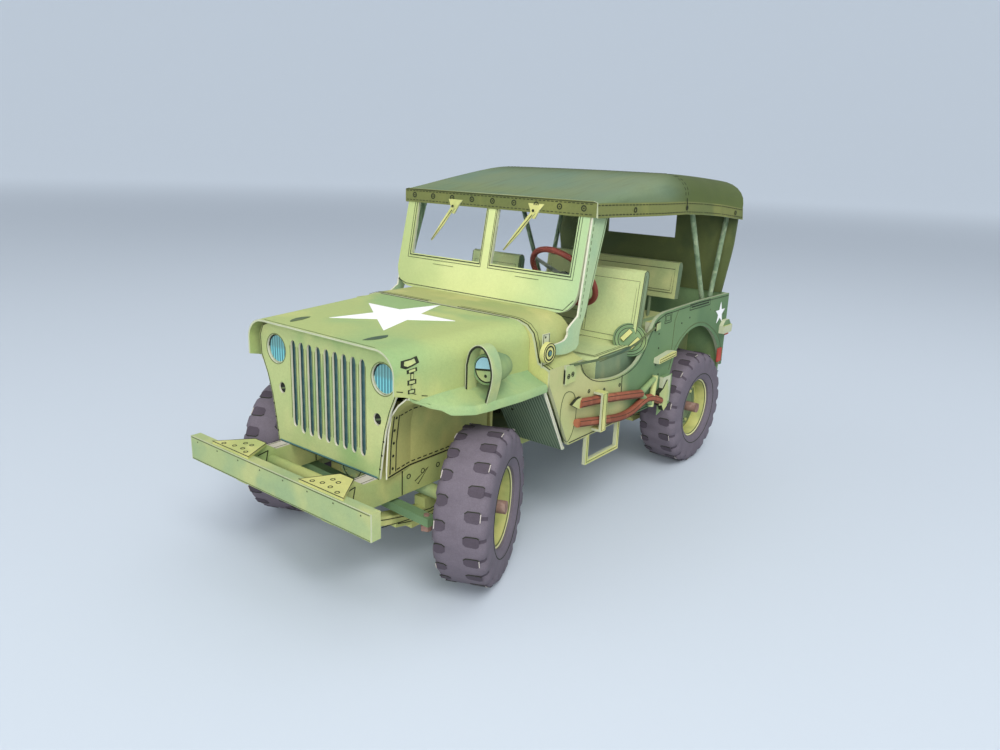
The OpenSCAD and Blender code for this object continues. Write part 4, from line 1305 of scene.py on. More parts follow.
class CARD_OT_windscreen(bpy.types.Operator):
    """Windscreen frame, its side arms, clear film and wipers"""

    bl_idname = "card_car.windscreen"
    bl_label = "Windscreen"

    def execute(self, context):
        high, sill, post, pane = 23.1, 9.2, 1.55, 21.5
        form = Form()
        push = on_screen(0, 0.8, 0) - on_screen(0, 0, 0)

        def flat(path, out=-0.6):
            return [on_screen(a, out, b) for a, b in path]
        edge = [(24.1, high), (24.1, 6.0), *arc(19.9, 5.8, 4.1, -8, -88, 6, 4.2),
            *arc(-20.6, 5.8, 4.6, -92, -172, 6, 4.2), (-25.3, 6.0), (-24.5, high)]
        holes = [
            [(post, sill), (pane, sill), (pane, high - 1.6), (post, high - 1.6)],
            [(-pane, sill), (-post, sill), (-post, high - 1.6), (-pane, high - 1.6)]]
        form.plate([flat(edge)] + [flat(hole) for hole in holes], push, 0, 1)
        form.make("windscreen_card", "car", [screen_paint(), "soft_cut"], ["windscreen_frame"])

        arms = Form()

        def arm():
            outline = [
                (1.3, -3.8), (1.0, -0.8), (1.9, 2.2), (3.2, 8.5), (5.2, high), (-0.4, high), (-0.4, 1.6),
                (-3.2, -0.9), (-3.1, -2.2), (-4.2, -3.4),
                (-7.8, -4.3), (-9.4, -4.2), (-9.2, -5.6), (-6.8, -6.1), (-3.1, -5.9), (-1.1, -5.4), (0.6, -4.8)]
            fine = smooth(outline[:4], 3)[:-1] + outline[3:6] + smooth(outline[6:], 3)
            arms.plate([[on_screen(24.6 - 0.45 * max(0.0, c) / high, b, c) for b, c in fine]], shift(0.45), 0, 1)
            rim = [on_screen(25.07 - 0.45 * max(0.0, c) / high, b, c)
                for b, c in ((2.0, 1.4), (2.7, 8.5), (4.6, high - 0.6))]
            arms.line(rim, LEFT, 0.12, 2)
            rim = [on_screen(25.07 - 0.45 * max(0.0, c) / high, b, c) for b, c in ((0.2, 1.2), (0.2, high - 0.6))]
            arms.stitches(rim, LEFT, 0.8, 0.5, 0.1, 2)
        arms.both(arm)
        arms.make("windscreen_arms", "car", ["screen_side", "cut", "soft_ink"])
        finish_node("windscreen_panes", "film")

        wiper = Form()
        for (hx, hz), (tx, tz) in (((-10.5, 63.0), (-15.3, 55.6)), ((11.0, 63.5), (5.1, 55.4))):
            def spot(x, z, out):
                up = (z - 43 + out * math.sin(RAKE)) / math.cos(RAKE)
                return on_screen(x, out, up)
            plate_of = [(hx - 1.7, hz + 1.6), (hx + 2.3, hz + 1.6), (hx + 1.2, hz + 0.2), (hx + 0.4, hz - 1.4),
                (hx - 0.6, hz - 1.3), (hx - 0.9, hz + 0.2)]
            wiper.prism([spot(a, b, -1.1) for a, b in plate_of], push * 0.5, 0, 1)
            dx, dz = tx - hx, tz - hz
            size = math.hypot(dx, dz)
            nx, nz = -dz / size, dx / size
            blade = [(hx + nx * 0.55, hz + nz * 0.55), (hx + dx * 0.5 + nx * 0.6, hz + dz * 0.5 + nz * 0.6),
                (tx + nx * 0.15, tz + nz * 0.15),
                     (tx - nx * 0.15, tz - nz * 0.15), (hx + dx * 0.5 - nx * 0.35, hz + dz * 0.5 - nz * 0.35),
                     (hx - nx * 0.35, hz - nz * 0.35)]
            wiper.prism([spot(a, b, -1.45) for a, b in blade], push * 0.3, 0, 1)
            wiper.line([spot(hx, hz - 0.6, -1.47), spot(tx, tz, -1.47)],
                on_screen(0, -1, 0) - on_screen(0, 0, 0), 0.14, 2)
            wiper.dot(spot(hx, hz + 0.2, -1.47), on_screen(0, -1, 0) - on_screen(0, 0, 0), 0.3, 2)
        wiper.make("wiper_card", "car", ["yellow", "soft_cut", "ink"], ["wipers"])

        marks = Form()
        front = on_screen(0, -1, 0) - on_screen(0, 0, 0)
        for sign in (-1, 1):
            for grow, wide in ((0.35, 0.26), (0.95, 0.12)):
                inner = post - 0.2 if grow < 0.5 else post - 0.55
                ring = [(inner, sill - grow), (pane + grow, sill - grow),
                    (pane + grow, high - 1.6 + min(grow, 0.5)), (inner, high - 1.6 + min(grow, 0.5))]
                marks.line([on_screen(sign * a, -0.62, b) for a, b in ring], front, wide, 0, True)
        marks.line([on_screen(-24.6, -0.62, 3.0), on_screen(-22, -0.62, 2.2), on_screen(21.4, -0.62, 2.2),
            on_screen(23.4, -0.62, 4.4)], front, 0.14, 0)
        for x in (-11.5, 11.5):
            marks.line([on_screen(x - 3, -0.62, 7.4), on_screen(x + 3, -0.62, 7.4)], front, 0.1, 1)
        marks.make("windscreen_print", "car", ["ink", "soft_ink"])
        return {"FINISHED"}


def screen_paint():
    """The windscreen frame: pale yellow below the panes, blue-green at the left."""
    paint = Paint("screen_card")
    across = paint.axis("X") * 1000.0
    fade = (across + paint.noise(70.0, 2.0) * 14.0 - 7.0).band(8.0, 24.0)
    warm = paint.mix(paint.noise(60.0, 2.0).band(0.4, 0.7), linear(200, 206, 142), linear(182, 194, 132))
    colour = paint.mix(fade * 0.8, warm, linear(150, 180, 136))
    dim = 1.0 - (across + paint.noise(70.0, 2.0) * 10.0 - 5.0).band(-24.0, -6.0)
    colour = paint.mix(dim * 0.7, colour, linear(164, 176, 116))
    return paint.finish(colour)


# ---------------------------------------------------------------- tub


SIDE_TOP = [
    (16.0, 36.4), (25.4, 36.4), (26.2, 35.6), (27.5, 33.5), (31.1, 31.7), (36.0, 30.6), (42.0, 30.1),
    (47.5, 30.9), (51.2, 33.0),
    (54.4, 37.1), (57.2, 40.3), (61.0, 41.3), (68.0, 41.6), (79.4, 41.7), (REAR, 41.6)]
SIDE_ARCH = [
    (REAR, 22.4), (96.4, 22.4), (94.8, 26.2), (92.0, 29.8), (87.6, 33.2), (82.4, 35.0), (77.2, 35.2), (72.4, 33.8),
    (68.8, 30.8), (66.6, 26.0),
    (65.4, 19.6)]


class CARD_OT_body(bpy.types.Operator):
    """Body sides, rear panel, floor and wheel boxes"""

    bl_idname = "card_car.body"
    bl_label = "Body"

    def execute(self, context):
        for node, paint in (("floor_pan", "dark"), ("rear_panel", "green"), ("wheel_boxes", "olive")):
            finish_node(node, paint)
        form = Form()
        outline = [SIDE_TOP[0], SIDE_TOP[1], *smooth(SIDE_TOP[2:-3], 4), SIDE_TOP[-2], SIDE_TOP[-1],
                   SIDE_ARCH[0], *smooth(SIDE_ARCH[1:-1], 4), SIDE_ARCH[-1], (23.7, 19.6), (16.0, 33.6)]
        form.both(lambda: form.prism(side_on(HALF - 0.8, outline), shift(0.8), 0, 0))
        form.make("body_side_card", "car", ["side"], ["body_sides"])

        marks = Form()
        out = LEFT
        x = HALF + 0.01

        def box_of(y0, y1, z0, z1, width=0.16):
            marks.line([at(x, y0, z0), at(x, y1, z0), at(x, y1, z1), at(x, y0, z1)], out, width, 0, True)

        def drawn():
            door = [(26.4, 36.0), (27.9, 33.5), (31.3, 31.4), (36.0, 30.2), (42.0, 29.7), (47.7, 30.5),
                (51.6, 32.6), (55.0, 36.9), (57.8, 39.8)]
            marks.line(side_on(x, smooth(door, 3)), out, 0.14, 0)
            marks.line([at(x, 57.8, 39.8), at(x, 61.2, 40.7), at(x, 79.4, 41.2), at(x, REAR - 0.4, 41.0)], out,
                0.14, 0)
            arch = [(a + (1.2 if a > 90 else 0.0 if a > 70 else -0.9), b + 0.9) for a, b in SIDE_ARCH[1:-1]]
            marks.line(side_on(x, smooth(arch, 3)), out, 0.12, 1)
            marks.line([at(x, 23.9, 20.0), at(x, 65.0, 20.0)], out, 0.2, 0)
            for y, z in ((30.2, 29.3), (36.2, 28.3), (42.6, 28.0)):
                marks.ring(at(x, y, z), out, 0.36, 0.14)
                marks.dot(at(x, y, z), out, 0.16, 1)
            marks.line([at(x, 43.4, 30.0), at(x, 43.6, 24.4)], out, 0.24, 0)
            # printed outline of the shovel's blade, its clamp, and the stowage marks
            blade = smooth([(21.4, 30.6), (24.4, 30.2), (25.8, 27.0), (25.2, 22.6), (23.2, 20.4), (21.0, 22.8),
                (20.2, 27.0)], 4, True)
            marks.line(side_on(x + 0.02, blade), out, 0.12, 1, True)
            box_of(61.4, 64.6, 38.6, 40.8)
            box_of(61.9, 64.1, 39.1, 40.3, 0.12)
            box_of(74.2, 85.8, 40.0, 41.3)
            marks.line([at(x, 75.0, 40.65), at(x, 85.0, 40.65)], out, 0.3, 0)
            for y, z in ((59.0, 36.6), (59.4, 33.2), (58.6, 29.4), (60.4, 26.8), (70.4, 37.4), (74.6, 38.2)):
                marks.dot(at(x, y, z), out, 0.22)
            marks.line([at(x, 66.2, 30.4), at(x, 66.6, 38.6), at(x, 68.0, 40.8)], out, 0.12, 1)
            marks.dots(at(x, 86.5, 38.6), at(x, 95.4, 36.4), 4, out, 0.18, 1)
            marks.prism(side_on(x - 0.04, ((61.4, 16.6), (67.6, 18.4), (67.8, 25.6), (61.4, 25.6))), shift(0.1), 3)
        marks.both(drawn)
        back = (0, 1, 0)
        y = REAR + 0.01
        marks.line([at(-26.4, y, 41.0), at(26.4, y, 41.0)], back, 0.16, 0)
        marks.line([at(-26.4, y, 20.2), at(26.4, y, 20.2)], back, 0.2, 0)
        for sx in (-25.6, 25.6):
            marks.dots(at(sx, y, 22), at(sx, y, 39), 7, back, 0.24)
        for k in range(3):
            marks.ring(at(17.5 - k * 2.0, y, 22.0), back, 0.5, 0.16)
        marks.make("body_print", "car", ["ink", "soft_ink", "olive", "green"])

        star = Form()

        def small_star():
            shape = [(92.9 + a, 36.8 + b) for a, b in star_outline(3.0)]
            star.prism(side_on(x, shape), shift(0.06), 0)
        star.both(small_star)
        star.make("side_stars", "car", ["white"])
        return {"FINISHED"}


# ---------------------------------------------------------------- canvas top


def top_row(y, w, eave, top, r):
    """Points across the canvas from its right lower edge to its left one. r is the bend at its sides."""
    bend = [(w, eave), (w, (eave + top - r) / 2)] + [(w - r * 1.3 * (1 - math.cos(t)), top - r * (1 - math.sin(t)))
        for t in (math.radians(v) for v in (0, 15, 30, 45, 60, 75, 90))]
    across = bend + [(w * 0.55, top + 0.05), (w * 0.2, top + 0.1)]
    return head_on(y, across) + [at(-a, y, b) for a, b in across[::-1]]


TOP_STATIONS = [
    (31.2, 25.4, 63.4, 66.3, 0.8), (36.0, 25.7, 63.4, 67.15, 1.3), (44.0, 26.3, 63.3, 68.6, 2.1),
    (54.0, 27.1, 63.2, 70.3, 3.2), (61.0, 27.5, 63.2, 71.3, 4.0),
    (65.0, 27.6, 63.2, 71.5, 4.4), (74.0, 27.8, 62.8, 71.2, 4.6), (84.0, 27.9, 62.1, 70.7, 4.8),
    (92.0, 28.0, 61.3, 70.2, 5.0), (REAR - 0.4, 28.0, 60.8, 69.8, 5.2)]


class CARD_OT_canvas(bpy.types.Operator):
    """Canvas top with its valance, seams, rings and rear curtain"""

    bl_idname = "card_car.canvas"
    bl_label = "Canvas top"

    def execute(self, context):
        form = Form()
        rows = smooth([tuple(v for p in top_row(*station) for v in p) for station in TOP_STATIONS], 3)
        rows = [[Vector(row[i:i + 3]) for i in range(0, len(row), 3)] for row in rows]
        form.sheet(rows, 0.4, 0, 1)
        back = REAR - 0.6
        parts = (
            [(-25.0, 41.6), (25.0, 41.6), (26.6, 52), (26.9, 54.5), (-26.9, 54.5), (-26.6, 52)],
            [(10.5, 54.5), (26.9, 54.5), (27.3, 62.0), (27.2, 63.0), (10.5, 63.0)],
            [(-10.5, 54.5), (-10.5, 63.0), (-27.2, 63.0), (-27.3, 62.0), (-26.9, 54.5)],
            [(-27.2, 63.0), (27.2, 63.0), (27.0, 66.2), (25.4, 68.2), (22.0, 69.3), (-22.0, 69.3),
                (-25.4, 68.2), (-27.0, 66.2)])
        # the rear curtain's darker colour is painted shade: it stands for the shadow that falls inside the top
        for part in parts:
            form.prism(head_on(back - 0.6, part), shift(0, 0.8), 2)
        form.make("canvas_top_card", "car", ["canvas", "soft_cut",
            card("curtain_painted_shade_card", (86, 96, 56), (74, 86, 54), (100, 108, 62))], ["canvas_top"])

        # the flap along the front and both sides, drawn as its own band of card
        band = Form()

        def side_band():
            upper = [(y, w + 0.05, eave + 2.6) for y, w, eave, top, r in TOP_STATIONS]
            lower = [(y, w + 0.32, eave - 0.2) for y, w, eave, top, r in TOP_STATIONS]
            upper[0] = (31.2, 25.45, 66.0)
            band.sheet([[at(w, y, z) for y, w, z in upper], [at(w, y, z) for y, w, z in lower]], 0.25, 0, 1, False)
        band.both(side_band)
        front = [(-25.5, 63.3), (25.5, 63.3), (25.5, 66.1), (24.6, 66.35), (-24.6, 66.35), (-25.5, 66.1)]
        band.prism(head_on(30.85, front), shift(0, 0.35), 0, 1)
        band.make("canvas_valance", "car", ["valance", "soft_cut"])

        marks = Form()
        ahead = FORWARD
        for k in range(9):
            x = -22.6 + k * 5.65
            marks.ring(at(x, 30.84, 64.9), ahead, 0.5, 0.22)
            marks.dot(at(x, 30.84, 64.9), ahead, 0.16, 0)
        marks.stitches([at(-25.1, 30.84, 65.8), at(25.1, 30.84, 65.8)], ahead, 0.6, 0.4, 0.14)
        marks.stitches([at(-25.1, 30.84, 63.8), at(25.1, 30.84, 63.8)], ahead, 0.6, 0.4, 0.14)
        marks.line([at(-25.3, 30.84, 66.1), at(25.3, 30.84, 66.1)], ahead, 0.14, 0)

        def drawn():
            out = (1, 0, 0.02)
            for lift, width in ((0.35, 0.16), (2.2, 0.16)):
                path = [at(w + 0.36 - 0.1 * lift, y, eave + lift) for y, w, eave, top, r in TOP_STATIONS]
                marks.stitches(path, out, 0.7, 0.5, width)
            for k in (2, 5, 8):
                y, w, eave, top, r = TOP_STATIONS[k]
                marks.ring(at(w + 0.3, y, eave + 1.2), out, 0.45, 0.2)
            marks.line([at(27.96, 65.0, 64.2), at(27.7, 65.0, 66.5)], out, 0.2, 0)
        marks.both(drawn)
        for y in (64.4, 65.6):
            path = [p + shift(0, 0, 0.03) for p in top_row(y, 27.6, 63.9, 71.48, 4.4)[2:-2]]
            for a, b in zip(path, path[1:]):
                up = (b - a).cross(Vector(FORWARD)).normalized()
                marks.stitches([a, b], up if up.z > 0 else -up, 0.7, 0.4, 0.15)
        rear = (0, 1, 0)
        y = REAR - 0.38
        frame_of = [(-11.6, 53.6), (11.6, 53.6), (11.6, 64.0), (-11.6, 64.0)]
        for grow, wide in ((0, 0.2), (0.9, 0.14)):
            marks.line([at(a + math.copysign(grow, a), y, b + (grow if b > 60 else -grow)) for a, b in frame_of],
                rear, wide, 0, True)
        marks.stitches([at(-24.8, y, 42.6), at(24.8, y, 42.6)], rear, 0.7, 0.5, 0.16)
        for sx in (-25.0, 25.0):
            marks.stitches([at(sx * 0.98, y, 43), at(sx * 1.04, y, 60)], rear, 0.7, 0.5, 0.16)
        for k in range(7):
            marks.ring(at(-21 + k * 7, y, 43.6), rear, 0.5, 0.2)
        marks.make("canvas_print", "car", ["ink", "cut"])

        bows = Form()

        def bow():
            bows.tube([at(25, 86.6, 37.6), at(25, 73.2, 64.9), at(24.2, 72.9, 66.6), at(21.4, 72.7, 69.0),
                at(20.4, 72.6, 69.4)], 0.62, 12, 0)
            bows.tube([at(25, 88.6, 37.6), at(25, 95.0, 61.6), at(24.8, 95.2, 62.4)], 0.62, 12, 0)
            for y, z, lean in ((85.9, 39.0, -0.44), (89.0, 39.2, 0.26)):
                bows.tube([at(25, y - lean * 0.8, z - 0.9), at(25, y + lean * 0.8, z + 0.9)], 0.95, 12, 1)
        bows.both(bow)
        bows.tube([at(-20.6, 72.6, 69.35), at(20.6, 72.6, 69.35)], 0.62, 12, 0)
        bows.make("top_bow_tubes", "car", [card("bow_card", (118, 136, 106), (92, 112, 84), (146, 158, 126),
            patch=500.0), "dark"], ["top_bows"])
        return {"FINISHED"}


# ---------------------------------------------------------------- inside


def seat_shape(form, x0, x1, y):
    """One folded seat: cushion, back and the box under it."""
    profile = [(y, 30), (y + 2, 30), (y + 2, 20.5), (y + 14, 20.5), (y + 14, 30), (y + 17.6, 30), (y + 20.3, 49.6),
        (y + 20.0, 50.5), (y + 19.2, 50.9), (y + 18.3, 50.5), (y + 15.9, 34.9), (y + 1.2, 34.6), (y, 33.8)]
    form.prism(side_on(x0, profile), Vector(((x1 - x0) * MM, 0, 0)), 1, 0)
    for x, out in ((x0, -1), (x1, 1)):
        form.line(side_on(x, profile[5:]), (out, 0, 0), 0.18, 2)
        form.line(side_on(x, ((y + 1.4, 33.6), (y + 16.4, 33.9), (y + 18.9, 49.8))), (out, 0, 0), 0.12, 2)


class CARD_OT_seats(bpy.types.Operator):
    """Front seats and rear bench"""

    bl_idname = "card_car.seats"
    bl_label = "Seats"

    def execute(self, context):
        form = Form()
        y0 = 36.0
        for side in (1, -1):
            x0, x1 = sorted((side * 9.8, side * 24.6))
            seat_shape(form, x0, x1, y0)
            for inset, width in ((0.9, 0.14), (1.5, 0.1)):
                a, b = x0 + inset, x1 - inset
                cushion = [(a, y0 + inset), (b, y0 + inset), (b, y0 + 15.2), (a, y0 + 15.2)]
                form.line([at(p, q, 34.62 + (q - y0) * 0.02) for p, q in cushion], UP, width, 2, True)
                back = [(a, y0 + 16.05, 36.0), (b, y0 + 16.05, 36.0), (b, y0 + 18.02, 48.9 - inset * 0.4),
                    (a, y0 + 18.02, 48.9 - inset * 0.4)]
                form.line([at(*p) for p in back], (0, -0.99, 0.153), width, 2, True)
                rear = [(a, y0 + 18.0, 32.6), (b, y0 + 18.0, 32.6), (b, y0 + 20.24, 48.9 - inset * 0.4),
                    (a, y0 + 20.24, 48.9 - inset * 0.4)]
                form.line([at(*p) for p in rear], (0, 0.99, -0.137), width, 2, True)
        form.make("front_seat_card", "car", ["seat", "seat_side", "soft_ink"], ["front_seats"])
        bench = Form()
        base = [(66, 29), (68, 29), (68, 20.5), (78, 20.5), (78, 29), (80.4, 29), (81.8, 36.8), (79, 34.3),
            (67.0, 34.4), (66, 33.6)]
        bench.prism(side_on(-16, base), shift(32), 0, 0)
        back = [(80.1, 41.0), (82.2, 40.8), (83.3, 49.0), (82.6, 50.0), (81.4, 49.9), (81.1, 49.2)]
        bench.prism(side_on(-19.8, back), shift(39.6), 2, 0)
        for x in (-12.5, 12.5):
            bench.tube([at(x, 80.7, 34.6), at(x, 81.4, 42)], 0.42, 10, 2)
        for inset, width in ((0.9, 0.14), (1.5, 0.1)):
            bench.line([at(p, q, 34.4) for p, q in ((-16 + inset, 66.6 + inset), (16 - inset, 66.6 + inset),
                (16 - inset, 78.6), (-16 + inset, 78.6))], UP, width, 1, True)
            rim = [(-19.8 + inset, 80.16, 41.5 + inset), (19.8 - inset, 80.16, 41.5 + inset),
                (19.8 - inset, 81.0, 49.2 - inset), (-19.8 + inset, 81.0, 49.2 - inset)]
            bench.line([at(*p) for p in rim], (0, -0.99, 0.12), width, 1, True)
        bench.make("rear_bench_card", "car", [card("rear_seat_card", (170, 176, 120), (152, 164, 112),
            (182, 184, 126)), "ink", "seat_side"], ["rear_bench"])
        return {"FINISHED"}


class CARD_OT_controls(bpy.types.Operator):
    """Steering column and wheel, levers, dashboard print and the filler cap"""

    bl_idname = "card_car.controls"
    bl_label = "Controls"

    def execute(self, context):
        finish_node("steering_column", "green")
        finish_node("control_levers", "dark")
        head, line = wheel_axis("steering_wheel_turn")
        side = line.orthogonal().normalized()
        other = line.cross(side)
        form = Form()
        ring = [head + line * 0.9 * MM + (side * math.cos(a) + other * math.sin(a)) * 7.8 * MM
            for a in (math.tau * k / 64 for k in range(64))]
        form.tube(ring, 0.62, 12, 0, closed=True)
        for k in range(3):
            a = math.tau * k / 3 + 0.5
            out = side * math.cos(a) + other * math.sin(a)
            wide = line.cross(out)
            inner, outer = head + line * 0.95 * MM + out * 1.1 * MM, head + line * 0.9 * MM + out * 7.5 * MM
            for off in (-0.42, 0.42):
                form.tube([inner + wide * off * 1.3 * MM, outer + wide * off * MM], 0.2, 8, 1)
            form.tube([inner, outer], 0.16, 8, 1)
        form.turn([(0.1, 0.56), (0.1, 1.5), (0.9, 1.5), (1.5, 1.1), (1.7, 0.56)], head, line, 24, 1)
        form.make("steering_wheel_card", "hand_wheel", ["rim_red", "steel"], ["steering_wheel"])
        horn = Form()
        horn.turn([(1.72, 0.02), (1.72, 0.7), (2.0, 0.6), (2.15, 0.02)], head, line, 20, 0)
        horn.make("horn_button", "hand_wheel", ["black"])

        inside = Form()
        dial = [(-12, 40.4, 1.5), (-6.5, 39.6, 1.1), (-2.6, 40.6, 1.3), (2.4, 40.4, 1.7), (7.4, 39.8, 1.1)]
        for x, z, r in dial:
            inside.ring(at(x, 27.22, z), (0, 1, 0), r, 0.18, 0)
            inside.dot(at(x, 27.22, z), (0, 1, 0), r * 0.8, 1)
        inside.line([at(-24, 27.22, 37.0), at(24, 27.22, 37.0)], (0, 1, 0), 0.2, 0)
        for x in (8.0, 11.6, 15.6):
            inside.block((x, 22.6, 22.4), (x + 2.0, 23.2, 25.6), 0)
            inside.tube([at(x + 1, 22.9, 24), at(x + 1, 18.6, 26)], 0.3, 8, 0)
        inside.make("cab_print", "car", ["ink", "cut"])

        # round filler cap by the driver's seat, with its two grips
        cap = Form()
        centre, out = at(24.0, 51.0, 36.0), Vector((0.55, -0.68, 0.48)).normalized()
        cap.turn([(-0.9, 0.05), (-0.9, 3.5), (0.0, 3.85), (0.25, 3.7), (0.25, 3.1), (0.1, 3.0), (0.1, 0.05)],
            centre, out, 40, 0)
        for r, width in ((3.45, 0.16), (2.7, 0.14)):
            cap.ring(centre + out * (0.25 if r > 3.1 else 0.1) * MM, out, r, width, 1, 36)
        across = out.cross(Vector(UP)).normalized()
        upward = across.cross(out)
        for sign in (-1, 1):
            mid = centre + (across * 0.9 * sign + upward * 0.9 * sign) * MM + out * 0.1 * MM
            long, short = (across - upward).normalized() * 1.5 * MM, (across + upward).normalized() * 0.55 * MM
            cap.prism([mid - long - short, mid + long - short, mid + long + short, mid - long + short],
                out * 0.5 * MM, 2, 2)
            cap.line([mid - long - short + out * 0.5 * MM, mid + long - short + out * 0.5 * MM,
                mid + long + short + out * 0.5 * MM, mid - long + short + out * 0.5 * MM], out, 0.12, 1, True)
        cap.make("filler_cap", "car", ["green", "ink", "yellow"])
        return {"FINISHED"}


# ---------------------------------------------------------------- fittings


class CARD_OT_fittings(bpy.types.Operator):
    """Blackout lamp and guard, straps, tools, handles, step and lamps at the rear"""

    bl_idname = "card_car.fittings"
    bl_label = "Fittings"

    def execute(self, context):
        guard = Form()
        hoop = [(21.2, 33.6), *smooth([(21.2, 39.6), (21.8, 41.9), (22.9, 43.1), (24.2, 43.5), (25.5, 42.9),
            (26.6, 41.2), (27.1, 38.8), (26.8, 36.6)], 4), (26.0, 33.6)]
        bore = [(21.65, 33.6), *smooth([(21.65, 39.6), (22.2, 41.6), (23.1, 42.65), (24.2, 43.05), (25.25, 42.5),
            (26.15, 41.0), (26.65, 38.8), (26.35, 36.7)], 4), (25.55, 33.6)]
        guard.prism(head_on(-1.2, hoop + bore[::-1]), shift(0, 2.5), 2, 0)
        guard.line(head_on(-1.2, hoop), FORWARD, 0.12, 4)
        ahead = FORWARD
        centre = at(24.0, 3.4, 38.9)
        guard.turn([(-3.6, 0.1), (-3.4, 1.0), (-2.4, 1.9), (-0.8, 2.5), (1.2, 2.75), (2.6, 2.7), (2.95, 2.6),
            (2.95, 2.35), (2.7, 2.3), (2.7, 0.1)], centre, ahead, 36, 1)
        y = 3.4 - 2.7
        guard.dot(at(24, y, 38.9), ahead, 2.3, 0, 0.04, 32)
        # painted reflection: the upper half of the lamp's face is pale blue, standing for the sky mirrored in its
        # glass
        upper = [(24 + a, 38.9 + b) for a, b in arc(0, 0, 2.15, 8, 188, 12)]
        guard.prism(head_on(y - 0.03, upper), shift(0, -0.07), 3)
        guard.line([at(*p) for p in ((21.9, y - 0.08, 38.6), (26.1, y - 0.08, 39.2))], ahead, 0.35, 2)
        guard.ring(at(24, y - 0.02, 38.9), ahead, 2.2, 0.24, 2, 32)
        guard.dot(at(24.1, y - 0.03, 37.8), ahead, 0.3, 2)
        guard.tube([at(24, 3.6, 36.8), at(24, 3.6, 33.9)], 0.6, 10, 1)
        guard.make("blackout_lamp_card", "car", ["olive", "green", "ink", "sky_reflection", "soft_cut"],
            ["blackout_lamp"])

        straps = Form()

        def strap():
            path = smooth([(22.2, 36.2), (26.0, 35.9), (33.0, 35.4), (40.0, 35.3), (48.0, 36.2), (53.6, 37.8),
                (57.4, 38.6)], 4)
            for (a, b), (c, d) in zip(path, path[1:]):
                straps.prism([at(HALF + 0.15, a, b - 0.22), at(HALF + 0.15, c, d - 0.22),
                    at(HALF + 0.15, c, d + 0.22), at(HALF + 0.15, a, b + 0.22)], shift(0.25), 0, 0)
            straps.prism(side_on(HALF + 0.02, ((20.6, 32.6), (23.9, 32.8), (24.3, 34.8), (23.1, 36.2),
                (20.6, 36.4))), shift(0.5), 2, 1)
            for y, z in ((21.6, 34.2), (23.0, 34.4)):
                straps.ring(at(HALF + 0.53, y, z), LEFT, 0.42, 0.16, 3)
                straps.dot(at(HALF + 0.53, y, z), LEFT, 0.2, 3)
            straps.prism(side_on(HALF + 0.02, ((56.6, 37.6), (58.6, 37.9), (58.6, 39.5), (56.6, 39.3))),
                shift(0.45), 2, 3)
        straps.both(strap)
        straps.make("door_strap_card", "car", ["dark", "soft_cut", "olive", "ink"], ["door_straps"])

        tools = Form()
        x = HALF + 0.85
        shovel = smooth([(25.2, 28.0), (33, 27.1), (42, 25.8), (50.8, 24.4)], 4)
        tools.tube(side_on(x, shovel), 0.95, 14, 0)
        for a, b in (((50.4, 24.4), (57.4, 26.8)), ((50.4, 24.4), (56.4, 20.8))):
            tools.tube([at(x, *a), at(x, *b)], [0.75, 0.6], 10, 3)
        tools.tube([at(x, 57.4, 27.3), at(x, 56.3, 20.2)], 0.7, 10, 1)
        axe = smooth([(25.2, 24.0), (29, 23.3), (36, 22.0), (42, 21.1), (47, 21.2), (52, 22.4), (55.6, 22.4),
            (60.8, 20.6)], 4)
        tools.tube(side_on(x, axe), 0.9, 14, 0)
        head = [(59.6, 22.6), (61.4, 23.4), (63.2, 25.2), (64.4, 22.0), (64.0, 18.6), (62.4, 17.8),
            (61.2, 19.4), (59.8, 19.6)]
        tools.prism(side_on(HALF + 0.05, head), shift(1.2), 1, 2)
        for path, r in ((shovel, 0.95), (axe, 0.9)):
            for lift in (-0.5, 0.5):
                tools.line([at(x + math.sqrt(r * r - lift * lift), a, b + lift) for a, b in path],
                    (1, 0, lift * 1.4), 0.1, 2)
        tip = [(25.6, 29.4), (24.0, 29.2), (22.4, 28.4), (24.6, 27.2), (25.6, 26.8)]
        tools.prism(side_on(x - 0.3, tip), shift(0.7), 1, 2)
        tools.make("side_tool_card", "car", ["wood", "olive", "ink", "green"], ["side_tools"])

        rest = Form()
        # clamp over both handles, the step loop, the plate, the side handles and the boxes at the rear
        clamp = [(27.0, 28.9), (29.2, 28.9), (29.2, 20.6), (27.0, 20.6), (27.0, 21.1), (28.75, 21.1),
            (28.75, 28.4), (27.0, 28.4)]
        rest.prism(head_on(32.0, clamp), shift(0, 2.0), 1, 0)
        rest.line(side_on(29.2, ((32.3, 20.9), (33.7, 20.9), (33.7, 28.6), (32.3, 28.6))), LEFT, 0.12, 2, True)
        loop = [(30.6, 19.6), (30.6, 13.2), (44.0, 13.2), (44.0, 19.6), (43.0, 19.6), (43.0, 14.2),
            (31.6, 14.2), (31.6, 19.6)]
        rest.prism(side_on(HALF - 0.8, loop), shift(0.8), 0, 1)
        rest.line(side_on(HALF, ((31.1, 19.4), (31.1, 13.7), (43.5, 13.7), (43.5, 19.4))), LEFT, 0.12, 2)
        rest.block((HALF, 61.4, 19.6), (HALF + 1.0, 65.2, 26.0), 3, 1)

        def sides():
            rest.prism(side_on(HALF, ((57.6, 30.0), (66.2, 30.4), (66.2, 31.6), (63.8, 31.9), (57.6, 31.2))),
                shift(1.4), 0, 1)
            rest.line(side_on(HALF + 1.4, ((58.0, 30.3), (65.8, 30.7), (65.8, 31.3), (58.0, 30.9))),
                LEFT, 0.12, 2, True)
            rest.block((HALF, 93.4, 31.4), (HALF + 1.4, 98.6, 33.4), 0, 1)
            peak = [(93.4, 33.4), (98.6, 33.4), (97.2, 34.8), (94.8, 34.8)]
            rest.prism(side_on(HALF, peak), shift(1.0), 3, 1)
            rest.block((HALF, 20.6, 32.8), (HALF + 0.4, 24.0, 35.6), 0, 1)
        rest.both(sides)
